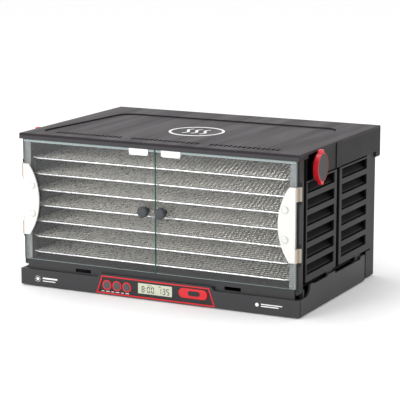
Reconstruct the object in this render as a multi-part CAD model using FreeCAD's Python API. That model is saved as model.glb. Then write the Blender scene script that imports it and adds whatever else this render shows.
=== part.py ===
import FreeCAD, Part
import math
import os

# A countertop food dehydrator that folds flat for storage: a base with the controls, two side walls, a rear
# housing with fans and a heater, a hinged lid, two glass doors and seven wire racks.
# Millimetres. +Z is up and the doors face -Y. While the model is made, y = 0 is the front plane of the body.

V = FreeCAD.Vector
X_AXIS = V(1, 0, 0)
Y_AXIS = V(0, 1, 0)
Z_AXIS = V(0, 0, 1)

# --- body -----------------------------------------------------------------------------------------------
body_width = 500.0
body_depth = 341.0
running_gap = 0.3
part_gap = 0.6
see_through = 1.0

# --- base -----------------------------------------------------------------------------------------------
foot_height = 2.0
foot_radius = 9.0
foot_inset = 28.0
base_side_lip = 1.2
base_wall = 3.2
base_floor = 3.0
base_back_gap = 3.0
corner_seam_width = 3.0
corner_seam_depth = 1.8
dip_front_gap = 14.0
dip_pin_gap = 4.0
dip_rear_margin = 20.0
base_side_top = 46.0
base_dip_depth = 4.0
notch_length = 44.0
notch_radius = 16.5
fascia_height = 29.0
fascia_thick = 3.2
sill_top = 44.5
sill_setback = 6.0
sill_thick = 3.0
sill_end_gap = 9.4
sill_slot_start = 121.0
sill_slot_length = 28.5
sill_slot_height = 6.0
sill_slot_rise = 2.0
sensor_hole_rise = 4.0
sensor_hole_x = 104.0
sensor_hole_radius = 1.5
chamber_floor_thick = 3.0

# --- control panel ---------------------------------------------------------------------------------------
panel_low_z = 2.8
panel_high_z = 32.5
panel_low_half = 107.5
panel_high_half = 97.0
panel_line = 2.0
panel_thick = 2.4
panel_sink = 0.8
crown_border = 2.6
screen_width = 61.4
screen_height = 17.0
screen_z = 18.5
button_z = 17.2
button_radius = 6.4
button_pitch = 18.3
button_first_x = -87.7
button_travel = 1.0
button_hole_depth = 6.0
power_hole_gap = 0.15
screen_proud = 0.2
module_side = 3.0
module_below = 2.0
module_above = 1.0
ring_width = 1.9
button_bore_gap = 0.05
power_x = 68.9
power_z = 20.0
power_length = 51.0
power_height = 16.0
inlay_length = 21.0
inlay_height = 8.0
board_thick = 1.6
board_depth = 12.0
board_half = 100.0
pillar_half = 3.0
pillar_inset = 5.0
switch_height = 3.2
button_proud = 0.9
button_round = 0.6
flange_width = 1.2
flange_thick = 0.8
power_proud = 1.6
power_round = 1.1
inlay_shift_x = 2.0
inlay_shift_z = 0.6
inlay_front = 1.8
inlay_seat = 0.6
ring_proud = 0.3

# --- walls and posts -------------------------------------------------------------------------------------
wall_thick = 12.0
wall_lift = 5.5
wall_back_margin = 31.5
wall_front_frame = 3.6
wall_rear_frame = 22.0
post_width = 15.3
post_depth = 16.0
front_groove = 10.0
groove_depth = 6.0
louvre_count = 6
louvre_shadow = 2.3
louvre_first_z = 61.5
louvre_height = 17.0
louvre_depth = 10.5
louvre_slit = 1.6
louvre_post = 31.5
louvre_lead = 3.0
louvre_top_flat = 2.0
slit_margin = 3.0
high_groove_drop = 6.0
high_groove_start = 4.0
high_groove_margin = 22.0
high_groove_top = 10.0
wall_foot_thick = 4.0
channel_width = 12.0
pivot_radius = 3.2
pivot_z = 38.5
pivot_pin_radius = 1.3
pivot_mid_y = 118.0
pivot_rear_margin = 36.0
pivot_length = 24.0
pivot_inset = 0.2
post_pivot_margin = 1.0

# --- racks -----------------------------------------------------------------------------------------------
rack_count = 7
rack_first_z = 57.6
rack_pitch = 26.2
rack_bar = 3.2
rack_side_gap = 4.8
rack_back_gap = 5.0
rack_front_gap = 3.3
rack_mesh_thick = 1.0
rail_width = 11.0
rail_thick = 2.0
head_room = 41.2

# --- doors -----------------------------------------------------------------------------------------------
glass_thick = 4.0
glass_front_y = 2.3
glass_gap = 0.8
glass_side_gap = 7.2
door_gap = 0.7
hinge_plate_thick = 2.6
hinge_plate_height = 118.0
hinge_plate_end = 10.0
hinge_plate_belly = 29.0
hinge_screw_pitch = 46.9
hinge_screw_inset = 16.9
hinge_screw_head = 5.6
hinge_tab_height = 22.0
hinge_strap_gap = 0.6
hinge_strap_thick = 2.6
hinge_pin_radius = 1.5
hinge_pin_gap = 0.05
hinge_barrel_radius = 3.0
hinge_ear_height = 5.0
hinge_set_back = 3.7
hinge_rise = 1.0
plate_overhang = 0.5
screw_hole_radius = 2.2
screw_shank_radius = 2.0
screw_head_height = 2.2
screw_head_round = 1.5
screw_nut_radius = 3.6
screw_nut_thick = 2.0
door_knob_radius = 9.0
door_knob_reach = 14.5
door_knob_x = 15.5
knob_foot_radius = 5.5
knob_foot_height = 1.6
knob_neck_radius = 4.2
knob_neck_low = 2.6
knob_neck_high = 5.0
knob_flare_height = 7.6
knob_face_inset = 1.8
knob_face_rise = 2.3
knob_edge_drop = 0.3
knob_nut_radius = 4.0
strike_start = 11.5
strike_length = 34.5
strike_height = 10.6
strike_thick = 1.2
strike_corner = 4.0
magnet_inset = 3.0
magnet_depth = 6.0
magnet_gap = 0.5

# --- lid -------------------------------------------------------------------------------------------------
lid_thick = 4.0
lid_lip_height = 9.6
lid_skirt_thick = 2.4
lid_rear_thick = 3.0
lid_skirt_height = 42.0
lid_rear_height = 51.5
lid_corner_length = 20.0
lid_skirt_start = 88.0
lid_front_lip = 33.0
lid_edge_radius = 1.6
lid_step_width = 22.0
lid_step_out = 1.2
lid_panel_depth = 2.0
lid_panel_front = 24.0
lid_panel_back_margin = 66.0
lid_panel_side = 18.0
lid_panel_taper = 29.0
lid_panel_radius = 28.0
lid_groove_width = 2.0
lid_groove_depth = 1.0
vent_pitch = 8.2
vent_length = 22.0
vent_width = 5.0
vent_y = 38.5
vent_inset = 32.0
vent_break = 20.0
emblem_radius = 46.5
emblem_line = 4.6
emblem_y = 150.0
emblem_thick = 0.6
wave_pitch = 15.0
wave_radius = 7.5
lid_hinge_x = 150.0
lid_hinge_length = 20.0
lid_hinge_radius = 3.0
lid_hinge_room = 12.0
lid_hinge_gap = 0.5
lid_axis_rise = 2.0
lid_arm_half = 2.0

# --- latches ---------------------------------------------------------------------------------------------
latch_y = 68.5
latch_drop = 28.0
latch_half_width = 20.5
latch_half_height = 22.5
latch_rim = 1.1
latch_round = 0.8
latch_cap_round = 0.5
latch_boss_wall = 1.8
latch_thick = 8.8
latch_lug_reach = 4.7
latch_lug_half = 4.0
latch_lug_inset = 1.5
latch_cap_sink = 0.3
latch_cap_thick = 1.2
latch_hub_radius = 7.0
latch_hub_length = 8.0
latch_pocket_depth = 9.0
latch_pocket_drop = 18.0
catch_gap = 2.6
catch_width = 5.4
catch_height = 5.0

# --- rear housing, fans and heater -----------------------------------------------------------------------
housing_wall = 2.5
housing_column = 16.5
housing_foot_height = 47.5
housing_foot_gap = 13.5
housing_depth = 62.0
baffle_thick = 2.0
baffle_hole_pitch = 22.0
baffle_hole_radius = 7.0
baffle_side_margin = 20.0
baffle_top_margin = 15.0
cover_margin = 45.0
cover_seat = 5.0
cover_thick = 2.0
cover_drop = 8.0
cover_rows = 9
cover_bar_half = 2.0
cover_hole_radius = 1.6
cover_screw_inset = 5.0
cover_screw_length = 5.0
cover_screw_height = 1.6
cover_screw_round = 0.8
fan_margin = 15.5
fan_depth = 24.0
fan_x = 115.0
fan_rim = 3.0
fan_tip_gap = 3.0
fan_blades = 7
fan_corner = 6.0
strut_half = 2.0
strut_thick = 3.0
motor_length = 12.0
blade_half_chord = 9.0
blade_half_thick = 0.8
blade_twist = 24.0
hub_length = 6.0
hub_round = 2.0
shaft_length = 9.0
fan_hub_radius = 20.0
motor_radius = 18.0
shaft_radius = 2.0
heater_radius = 3.0
heater_runs = 4
heater_spread = 1.4
heater_span = 380.0
heater_gap = 2.0
heater_plate_thick = 2.0
heater_plate_margin = 8.0
heater_strap_half = 4.0
inlet_width = 27.0
inlet_height = 20.0
inlet_depth = 16.0
inlet_margin = 50.0
inlet_z = 22.0
inlet_wall = 3.0
inlet_flange_thick = 2.0
inlet_pins = ((-6.0, -1.5), (0.0, 2.0), (6.0, -1.5))
inlet_pin_half = 1.0
inlet_pin_half_height = 2.0
cover_screw_radius = 3.5

# --- levels and planes that follow from the sizes above ---------------------------------------------------
body_height = rack_first_z + (rack_count - 1) * rack_pitch + head_room
half_width = body_width / 2
base_half = half_width + base_side_lip
skirt_inner = half_width - lid_skirt_thick
wall_outer = skirt_inner - running_gap
wall_inner = wall_outer - wall_thick
lid_under = body_height - lid_thick
lip_bottom = body_height - lid_lip_height
glass_back_y = glass_front_y + glass_thick
post_front = glass_back_y + part_gap
post_back = post_front + post_depth
wall_front = post_back + part_gap
wall_back = body_depth - wall_back_margin
wall_bottom = sill_top + wall_lift
wall_top = lid_under - 2 * part_gap
housing_front_y = body_depth - housing_depth
base_length = housing_front_y - base_back_gap
housing_back = body_depth - lid_rear_thick - lid_hinge_room
column_front = housing_back - housing_column
glass_low = sill_top + glass_gap
glass_high = lip_bottom - glass_gap
glass_outer = half_width - glass_side_gap
door_axis_x = wall_outer - running_gap
door_axis_y = glass_back_y + hinge_set_back
hinge_mid_z = (glass_low + glass_high) / 2 + hinge_rise
lid_axis_y = body_depth - lid_rear_thick - lid_hinge_radius - lid_hinge_gap
lid_axis_z = body_height - lid_rear_height + lid_axis_rise
latch_z = body_height - latch_drop
latch_inner = half_width + lid_step_out + running_gap
rack_half = wall_inner - rack_side_gap
rack_front = glass_back_y + rack_front_gap
rack_depth = housing_front_y - baffle_thick - rack_back_gap - rack_front
fascia_crown = panel_high_z + crown_border
switch_gap = button_travel + running_gap
pivot_x = wall_outer - pivot_radius + pivot_inset
pivot_rear_y = base_length - pivot_rear_margin
louvre_front_start = wall_front + front_groove + wall_front_frame
louvre_length = (wall_back - wall_rear_frame - louvre_front_start - louvre_post) / 2
louvre_rear_start = louvre_front_start + louvre_length + louvre_post
louvre_pitch = (body_height - lid_skirt_height + louvre_shadow - louvre_first_z) / louvre_count
channel_start = louvre_rear_start - (louvre_post + channel_width) / 2
lid_step_y = channel_start - lid_step_width / 2
lid_panel_back = body_depth - lid_panel_back_margin
lid_panel_front_half = half_width - lid_panel_side
lid_panel_back_half = lid_panel_front_half - lid_panel_taper
cover_low = housing_foot_height
cover_high = lid_axis_z - cover_drop
cover_half = half_width - cover_margin
fan_z = (cover_low + cover_high) / 2
fan_size = cover_high - cover_low - 2 * fan_margin
fan_throat_radius = fan_size / 2 - fan_rim
fan_blade_radius = fan_throat_radius - fan_tip_gap
heater_pitch = heater_spread * fan_size / heater_runs
fan_back = housing_back - cover_thick
inlet_x = half_width - inlet_margin
strap_inner = glass_outer + hinge_strap_gap
hinge_relief = math.hypot(door_axis_x - strap_inner, door_axis_y - post_front) + running_gap
plate_outer = glass_outer + plate_overhang
screw_x = plate_outer - hinge_screw_inset


def block(x0, x1, y0, y1, z0, z1):
    """A box between two corners."""
    return Part.makeBox(x1 - x0, y1 - y0, z1 - z0, V(x0, y0, z0))


def rod(radius, start, end):
    """A round bar between two points."""
    return Part.makeCylinder(radius, (end - start).Length, start, end - start)


def fuse(shapes):
    """One solid from several that overlap or touch."""
    joined = shapes[0].multiFuse(shapes[1:])
    return joined.removeSplitter()


def cut(shape, tools):
    """Take tools out of a shape."""
    return shape.cut(tools)


def group(shapes):
    """Separate solids that share one node."""
    return Part.makeCompound(shapes)


def prism(points, direction):
    """A straight-sided solid from the corners of a flat outline."""
    wire = Part.makePolygon(points + [points[0]])
    return Part.Face(wire).extrude(direction)


def mirrored(shape):
    """The same piece on the other side of the body."""
    return shape.mirror(V(0, 0, 0), X_AXIS)


def rounded(shape, radius, keep):
    """Round the straight edges that keep() picks."""
    edges = [edge for edge in shape.Edges if keep(edge)]
    return shape.makeFillet(radius, edges)


def along(edge, axis):
    """True when a straight edge runs along an axis."""
    first = edge.Vertexes[0].Point
    last = edge.Vertexes[-1].Point
    return (last - first).cross(axis).Length < 0.001 and (last - first).Length > 0.001


def stadium(length, height, y0, y1, x, z):
    """A long round-ended block that faces the front."""
    radius = height / 2
    reach = length / 2 - radius
    ends = [rod(radius, V(x + side * reach, y0, z), V(x + side * reach, y1, z)) for side in (-1, 1)]
    middle = block(x - reach, x + reach, y0, y1, z - radius, z + radius)
    return fuse([middle] + ends)


def trapezoid(grow, y0, y1):
    """The control panel's outline, grown or shrunk, as a block between two depths."""
    slope = (panel_low_half - panel_high_half) / (panel_high_z - panel_low_z)
    side = grow * math.sqrt(1 + slope ** 2)
    low = panel_low_z - grow
    high = panel_high_z + grow
    low_half = panel_low_half + side + slope * grow
    high_half = panel_high_half + side - slope * grow
    corners = [V(-low_half, y0, low), V(low_half, y0, low), V(high_half, y0, high), V(-high_half, y0, high)]
    return prism(corners, V(0, y1 - y0, 0))


# --- base -------------------------------------------------------------------------------------------------

def pivot_spans():
    """Front and back of the lobes that each side wall and its post fold on."""
    return [(post_front + post_pivot_margin, post_back), (pivot_mid_y, pivot_mid_y + pivot_length),
            (pivot_rear_y, pivot_rear_y + pivot_length)]


def make_base_tray():
    outer = block(-base_half, base_half, fascia_thick, base_length, foot_height, base_side_top)
    inner = block(-base_half + base_wall, base_half - base_wall, fascia_thick - 1, base_length - base_wall,
                  foot_height + base_floor, base_side_top + 1)
    shell = cut(outer, [inner])
    cheek = block(base_half - base_wall, base_half, 0, fascia_thick, foot_height, fascia_height)
    shell = fuse([shell, cheek, mirrored(cheek)])
    span = base_half + 1
    notch = block(-span, span, -1, notch_length, fascia_height, base_side_top + 1)
    notch = rounded(notch, notch_radius, lambda e: along(e, X_AXIS)
                    and e.CenterOfMass.y > notch_length - 1 and e.CenterOfMass.z < fascia_height + 1)
    dip_front = block(-span, span, notch_length + dip_front_gap, pivot_mid_y - dip_pin_gap,
                      base_side_top - base_dip_depth / 2, base_side_top + 1)
    dip_rear = block(-span, span, pivot_mid_y + pivot_length + dip_pin_gap, base_length - dip_rear_margin,
                     base_side_top - base_dip_depth, base_side_top + 1)
    seam = block(base_half - corner_seam_depth, span, fascia_thick, fascia_thick + corner_seam_width,
                 foot_height - 1, fascia_height)
    shell = cut(shell, [notch, dip_front, dip_rear, seam, mirrored(seam)])
    lugs = []
    for y0, y1 in pivot_spans():
        for end in (y0 - base_wall - part_gap, y1 + part_gap):
            if end < sill_setback + sill_thick:
                continue
            lug = block(pivot_x - pivot_radius, base_half - base_wall, end, end + base_wall,
                        foot_height + base_floor, pivot_z + pivot_radius)
            lug = cut(lug, [rod(pivot_pin_radius, V(pivot_x, end - 1, pivot_z),
                                V(pivot_x, end + base_wall + 1, pivot_z))])
            lugs.extend([lug, mirrored(lug)])
    return fuse([shell] + lugs)


def make_feet():
    feet = []
    for x in (-base_half + foot_inset, base_half - foot_inset):
        for y in (foot_inset, base_length - foot_inset):
            feet.append(rod(foot_radius, V(x, y, 0), V(x, y, foot_height)))
    for x in (-wall_outer + foot_inset, wall_outer - foot_inset):
        y = housing_back - foot_inset / 2
        feet.append(rod(foot_radius, V(x, y, 0), V(x, y, foot_height)))
    return group(feet)


def make_front_fascia():
    half = base_half - base_wall
    strip = block(-half, half, 0, fascia_thick, foot_height, fascia_height)
    crown_half = panel_high_half + crown_border
    rise = fascia_crown - fascia_height
    crown = prism([V(-crown_half - rise, 0, fascia_height), V(crown_half + rise, 0, fascia_height),
                   V(crown_half, 0, fascia_crown), V(-crown_half, 0, fascia_crown)], V(0, sill_setback, 0))
    front = fuse([strip, crown])
    shelf = block(-half, half, fascia_thick, sill_setback + sill_thick, fascia_height - base_floor,
                  fascia_height)
    front = fuse([front, shelf])
    window = trapezoid(0, -1, sill_setback + sill_thick + 1)
    return cut(front, [window])


def make_door_sill():
    half = half_width - sill_end_gap
    y0 = sill_setback
    strip = block(-half, half, y0, y0 + sill_thick, fascia_height, sill_top)
    ledge = block(-half, half, y0 + sill_thick, post_back - 1, sill_top - sill_thick, sill_top)
    sill = fuse([strip, ledge])
    slots = []
    low = fascia_height + sill_slot_rise
    for x in (sill_slot_start, -sill_slot_start - sill_slot_length):
        slots.append(block(x, x + sill_slot_length, y0 - 1, y0 + sill_thick + 1, low, low + sill_slot_height))
    hole_z = fascia_height + sensor_hole_rise
    slots.append(rod(sensor_hole_radius, V(sensor_hole_x, y0 - see_through, hole_z),
                     V(sensor_hole_x, y0 + sill_thick + see_through, hole_z)))
    return cut(sill, slots)


def make_chamber_floor():
    half = pivot_x - pivot_radius - part_gap
    low = sill_top - chamber_floor_thick
    plate = block(-half, half, post_back - 1, base_length - base_wall, low, sill_top)
    stands = []
    for x in (-half + foot_inset, half - foot_inset):
        for y in (2 * foot_inset, base_length - foot_inset):
            stands.append(rod(foot_radius / 2, V(x, y, foot_height + base_floor), V(x, y, low)))
    return fuse([plate] + stands)


# --- control panel ----------------------------------------------------------------------------------------

def button_x(index):
    return button_first_x + index * button_pitch


def make_control_bezel():
    return cut(trapezoid(0, -0.5, fascia_thick), [trapezoid(-panel_line, -1, fascia_thick + 1)])


def make_control_panel():
    plate = trapezoid(-panel_line, panel_sink, panel_sink + panel_thick)
    holes = []
    for index in range(3):
        x = button_x(index)
        holes.append(rod(button_radius + button_bore_gap, V(x, 0, button_z), V(x, button_hole_depth, button_z)))
    holes.append(stadium(power_length + 2 * power_hole_gap, power_height + 2 * power_hole_gap, 0,
                         button_hole_depth, power_x, power_z))
    holes.append(block(-screen_width / 2, screen_width / 2, 0, button_hole_depth, screen_z - screen_height / 2,
                       screen_z + screen_height / 2))
    return cut(plate, holes)


def make_button_rings():
    rings = []
    for index in range(3):
        x = button_x(index)
        inner = button_radius + button_bore_gap
        ring = rod(inner + ring_width, V(x, -ring_proud, button_z), V(x, panel_sink, button_z))
        bore = rod(inner, V(x, -see_through, button_z), V(x, panel_sink + see_through, button_z))
        rings.append(cut(ring, [bore]))
    return group(rings)


def make_button(index):
    x = button_x(index)
    back = panel_sink + panel_thick + part_gap
    cap = rod(button_radius, V(x, -button_proud, button_z), V(x, back, button_z))
    cap = rounded(cap, button_round, lambda e: e.CenterOfMass.y < 0)
    flange = rod(button_radius + flange_width, V(x, back, button_z), V(x, back + flange_thick, button_z))
    stem = rod(button_radius / 3, V(x, back + flange_thick / 2, button_z),
               V(x, board_depth - switch_height - switch_gap, button_z))
    return fuse([cap, flange, stem])


def make_power_button():
    back = panel_sink + panel_thick + part_gap
    cap = stadium(power_length, power_height, -power_proud, back, power_x, power_z)
    cap = rounded(cap, power_round, lambda e: e.CenterOfMass.y < 0.1 - power_proud)
    flange = stadium(power_length + 2 * flange_width, power_height + 2 * flange_width, back,
                     back + flange_thick, power_x, power_z)
    stem = rod(button_radius / 3, V(power_x, back + flange_thick / 2, power_z),
               V(power_x, board_depth - switch_height - switch_gap, power_z))
    seat = stadium(inlay_length, inlay_height, -inlay_front - see_through, -inlay_seat, power_x + inlay_shift_x,
                   power_z + inlay_shift_z)
    return cut(fuse([cap, flange, stem]), [seat])


def make_power_inlay():
    return stadium(inlay_length, inlay_height, -inlay_front, -inlay_seat, power_x + inlay_shift_x,
                   power_z + inlay_shift_z)


def make_screen():
    return block(-screen_width / 2, screen_width / 2, panel_sink - screen_proud, panel_sink + panel_thick,
                 screen_z - screen_height / 2, screen_z + screen_height / 2)


def make_screen_module():
    y0 = panel_sink + panel_thick
    half = screen_width / 2 + module_side
    return block(-half, half, y0, board_depth, screen_z - screen_height / 2 - module_below,
                 screen_z + screen_height / 2 + module_above)


def make_control_board():
    low = foot_height + base_floor
    high = fascia_height - base_floor - see_through
    board = block(-board_half, board_half, board_depth, board_depth + board_thick, low + see_through, high)
    switches = []
    for x, z in [(button_x(0), button_z), (button_x(1), button_z), (button_x(2), button_z), (power_x, power_z)]:
        switches.append(block(x - pillar_half, x + pillar_half, board_depth - switch_height, board_depth,
                              z - pillar_half, z + pillar_half))
    back = board_depth + board_thick
    places = (pillar_inset - board_half, board_half - pillar_inset)
    pillars = [block(x - pillar_half, x + pillar_half, back, back + 2 * pillar_half, low, high) for x in places]
    return fuse([board] + switches + pillars)


# --- side walls -------------------------------------------------------------------------------------------


def make_louvre(y_start, z_low):
    """The hollow of one louvre: a slanted back that rises inwards, with a vent slit along its foot."""
    outer = wall_outer + 1
    deep = wall_outer - louvre_depth
    lead = wall_outer - louvre_lead
    z_high = z_low + louvre_height
    shelf = z_low + louvre_slit
    pocket = prism([V(outer, y_start, z_low), V(lead, y_start, z_low), V(lead, y_start, shelf),
                    V(deep, y_start, z_high - louvre_top_flat), V(deep, y_start, z_high),
                    V(outer, y_start, z_high)],
                   V(0, louvre_length, 0))
    slit = block(wall_inner - 1, outer, y_start + slit_margin, y_start + louvre_length - slit_margin, z_low,
                 shelf)
    return [pocket, slit]


def make_side_wall():
    wall = block(wall_inner, wall_outer, wall_front, wall_back, wall_bottom, wall_top)
    hollows = []
    for start in (louvre_front_start, louvre_rear_start):
        for level in range(louvre_count):
            hollows.extend(make_louvre(start, louvre_first_z + level * louvre_pitch))
    outer = wall_outer + 1
    hollows.append(block(wall_outer - groove_depth, outer, wall_front - 1, wall_front + front_groove,
                         wall_bottom - 1, wall_top + 1))
    hollows.append(block(wall_outer - groove_depth, outer, channel_start, channel_start + channel_width,
                         wall_bottom - 1, wall_top + 1))
    high_groove = louvre_first_z + louvre_count * louvre_pitch - high_groove_drop
    hollows.append(block(wall_outer - groove_depth, outer, lid_skirt_start + high_groove_start,
                         wall_back - high_groove_margin, high_groove, wall_top - high_groove_top))
    pocket_inner = wall_outer - latch_pocket_depth
    boss = latch_hub_radius + latch_boss_wall + button_bore_gap
    hollows.append(block(pocket_inner, outer, wall_front + front_groove + part_gap, latch_y - boss,
                         latch_z - latch_pocket_drop, wall_top + 1))
    hollows.append(block(pocket_inner, outer, latch_y - boss - 1, lid_skirt_start, latch_z + boss,
                         wall_top + 1))
    hub = latch_hub_radius + button_bore_gap
    hollows.append(rod(hub, V(wall_outer - latch_hub_length, latch_y, latch_z), V(outer, latch_y, latch_z)))
    wall = cut(wall, hollows)
    foot = block(wall_inner, wall_inner + wall_foot_thick, wall_front, base_length - base_wall - part_gap,
                 sill_top, wall_bottom)
    pieces = [wall, foot]
    for y0, y1 in pivot_spans()[1:]:
        pieces.append(make_pivot_lobe(y0, y1, wall_bottom))
    return fuse(pieces)


def make_pivot_lobe(y0, y1, top):
    """A round-ended lobe that hangs on the fold pin at the base's side."""
    barrel = rod(pivot_radius, V(pivot_x, y0, pivot_z), V(pivot_x, y1, pivot_z))
    web = block(pivot_x - pivot_radius, pivot_x + pivot_radius - pivot_inset, y0, y1, pivot_z, top)
    bore = rod(pivot_pin_radius, V(pivot_x, y0 - 1, pivot_z), V(pivot_x, y1 + 1, pivot_z))
    return cut(fuse([barrel, web]), [bore])


def make_front_post():
    inner = wall_outer - post_width
    post = block(inner, wall_outer, post_front, post_back, sill_top + part_gap / 2, wall_top)
    post = cut(post, [rod(hinge_relief, V(door_axis_x, door_axis_y, z0 - part_gap),
                          V(door_axis_x, door_axis_y, z1 + part_gap)) for z0, z1 in tab_levels()])
    ears = []
    for z0, z1 in tab_levels():
        for low in (z0 - part_gap - hinge_ear_height, z1 + part_gap):
            ears.append(rod(hinge_barrel_radius, V(door_axis_x, door_axis_y, low),
                            V(door_axis_x, door_axis_y, low + hinge_ear_height)))
    post = fuse([post] + ears)
    bores = []
    for z0, z1 in tab_levels():
        bores.append(rod(hinge_pin_radius, V(door_axis_x, door_axis_y, z0 - part_gap - hinge_ear_height - 1),
                         V(door_axis_x, door_axis_y, z1 + part_gap + hinge_ear_height + 1)))
    post = cut(post, bores)
    y0, y1 = pivot_spans()[0]
    return fuse([post, make_pivot_lobe(y0, y1, sill_top + 1)])


def make_rack_rails():
    rails = []
    for level in range(rack_count):
        top = rack_first_z + level * rack_pitch - rack_bar / 2 - running_gap / 2
        rails.append(block(wall_inner - rail_width, wall_inner, wall_front, rack_front + rack_depth,
                           top - rail_thick, top))
    return group(rails)


def make_wall_hinge_pins():
    pins = []
    lug = base_wall + part_gap
    for y0, y1 in pivot_spans():
        start = y0 - lug if y0 - lug > sill_setback + sill_thick else y0
        pin = rod(pivot_pin_radius, V(pivot_x, start, pivot_z), V(pivot_x, y1 + lug, pivot_z))
        pins.extend([pin, mirrored(pin)])
    return pins


# --- racks ------------------------------------------------------------------------------------------------

def make_rack(level):
    z = rack_first_z + level * rack_pitch
    low = z - rack_bar / 2
    high = z + rack_bar / 2
    back = rack_front + rack_depth
    inner = rack_half - rack_bar
    bars = [block(-rack_half, rack_half, rack_front, rack_front + rack_bar, low, high),
            block(-rack_half, rack_half, back - rack_bar, back, low, high),
            block(-rack_half, -inner, rack_front + rack_bar, back - rack_bar, low, high),
            block(inner, rack_half, rack_front + rack_bar, back - rack_bar, low, high)]
    mesh = block(-inner, inner, rack_front + rack_bar, back - rack_bar, high - rack_mesh_thick, high)
    for x in (-rack_half / 3, rack_half / 3):
        bars.append(block(x - rack_bar / 2, x + rack_bar / 2, rack_front + rack_bar, back - rack_bar, low,
                          high - rack_mesh_thick))
    return group(bars + [mesh])


# --- doors ------------------------------------------------------------------------------------------------

def tab_levels():
    """Bottom and top of the two hinge tabs of a door."""
    reach = hinge_plate_height / 2
    upper = hinge_mid_z + reach - hinge_tab_height
    lower = hinge_mid_z - reach
    return [(lower, lower + hinge_tab_height), (upper, upper + hinge_tab_height)]


def screw_levels():
    return [hinge_mid_z - hinge_screw_pitch / 2, hinge_mid_z + hinge_screw_pitch / 2]


def make_door_glass():
    pane = block(door_gap, glass_outer, glass_front_y, glass_back_y, glass_low, glass_high)
    y1 = glass_back_y + see_through
    holes = [rod(screw_hole_radius, V(screw_x, 0, z), V(screw_x, y1, z)) for z in screw_levels()]
    holes.append(rod(screw_hole_radius, V(door_knob_x, 0, hinge_mid_z), V(door_knob_x, y1, hinge_mid_z)))
    return cut(pane, holes)


def make_hinge_plate():
    outer = plate_outer
    y0 = glass_front_y - hinge_plate_thick
    low = hinge_mid_z - hinge_plate_height / 2
    high = hinge_mid_z + hinge_plate_height / 2
    corner = outer - hinge_plate_end
    belly = outer - hinge_plate_belly
    curve = Part.Arc(V(corner, y0, high), V(belly, y0, hinge_mid_z), V(corner, y0, low)).toShape()
    edges = [Part.makeLine(V(outer, y0, low), V(outer, y0, high)),
             Part.makeLine(V(outer, y0, high), V(corner, y0, high)), curve,
             Part.makeLine(V(corner, y0, low), V(outer, y0, low))]
    plate = Part.Face(Part.Wire(edges)).extrude(V(0, hinge_plate_thick, 0))
    plate = cut(plate, [rod(screw_hole_radius, V(screw_x, y0 - see_through, z), V(screw_x, glass_back_y, z))
                        for z in screw_levels()])
    pieces = [plate]
    for z0, z1 in tab_levels():
        pieces.append(block(outer - 1, strap_inner + hinge_strap_thick, y0, glass_front_y, z0, z1))
        pieces.append(block(strap_inner, strap_inner + hinge_strap_thick, y0, door_axis_y, z0, z1))
        pieces.append(rod(hinge_barrel_radius, V(door_axis_x, door_axis_y, z0),
                          V(door_axis_x, door_axis_y, z1)))
    bores = [rod(hinge_pin_radius + hinge_pin_gap, V(door_axis_x, door_axis_y, z0 - 1),
                 V(door_axis_x, door_axis_y, z1 + 1)) for z0, z1 in tab_levels()]
    return cut(fuse(pieces), bores)


def make_hinge_screws():
    screws = []
    y0 = glass_front_y - hinge_plate_thick
    for z in screw_levels():
        top = y0 - screw_head_height
        end = glass_back_y + screw_nut_thick
        head = rod(hinge_screw_head, V(screw_x, top, z), V(screw_x, y0, z))
        head = rounded(head, screw_head_round, lambda e: e.CenterOfMass.y < top + 0.1)
        shank = rod(screw_shank_radius, V(screw_x, y0 - screw_head_height / 2, z), V(screw_x, end, z))
        nut = rod(screw_nut_radius, V(screw_x, glass_back_y, z), V(screw_x, end, z))
        screws.append(fuse([head, shank, nut]))
    return group(screws)


def make_door_hinge_pins():
    pins = []
    for z0, z1 in tab_levels():
        pin = rod(hinge_pin_radius, V(door_axis_x, door_axis_y, z0 - part_gap - hinge_ear_height),
                  V(door_axis_x, door_axis_y, z1 + part_gap + hinge_ear_height))
        pins.extend([pin, mirrored(pin)])
    return pins


def make_door_knob():
    reach = door_knob_reach
    radius = door_knob_radius
    profile = [V(0, 0, 0), V(knob_foot_radius, 0, 0), V(knob_foot_radius, 0, knob_foot_height),
               V(knob_neck_radius, 0, knob_neck_low), V(knob_neck_radius, 0, knob_neck_high),
               V(radius, 0, knob_flare_height), V(radius, 0, reach),
               V(radius - knob_face_inset, 0, reach + knob_face_rise - knob_edge_drop),
               V(0, 0, reach + knob_face_rise)]
    face = Part.Face(Part.makePolygon(profile + [profile[0]]))
    knob = face.revolve(V(0, 0, 0), Z_AXIS, 360)
    knob.rotate(V(0, 0, 0), X_AXIS, 90)
    knob.translate(V(door_knob_x, glass_front_y, hinge_mid_z))
    end = glass_back_y + screw_nut_thick
    shank = rod(screw_shank_radius, V(door_knob_x, glass_front_y - 1, hinge_mid_z),
                V(door_knob_x, end, hinge_mid_z))
    head = rod(knob_nut_radius, V(door_knob_x, glass_back_y, hinge_mid_z), V(door_knob_x, end, hinge_mid_z))
    return fuse([knob, shank, head])


def make_strike_plate():
    plates = []
    low = glass_high - strike_height
    for y0 in (glass_front_y - strike_thick, glass_back_y):
        plate = block(strike_start, strike_start + strike_length, y0, y0 + strike_thick, low, glass_high)
        plates.append(rounded(plate, strike_corner, lambda e: along(e, Y_AXIS) and e.CenterOfMass.z < low + 1))
    return group(plates)


# --- lid --------------------------------------------------------------------------------------------------

def make_lid_top():
    slab = block(-half_width, half_width, 0, body_depth, lid_under, body_height)
    slab = rounded(slab, lid_edge_radius, lambda e: e.CenterOfMass.z > body_height - 1)
    floor = body_height - lid_panel_depth
    groove = cut(lid_outline(0, floor - lid_groove_depth), [lid_outline(lid_groove_width, lid_under)])
    return cut(slab, [lid_outline(0, floor), groove] + make_vents())


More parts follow.
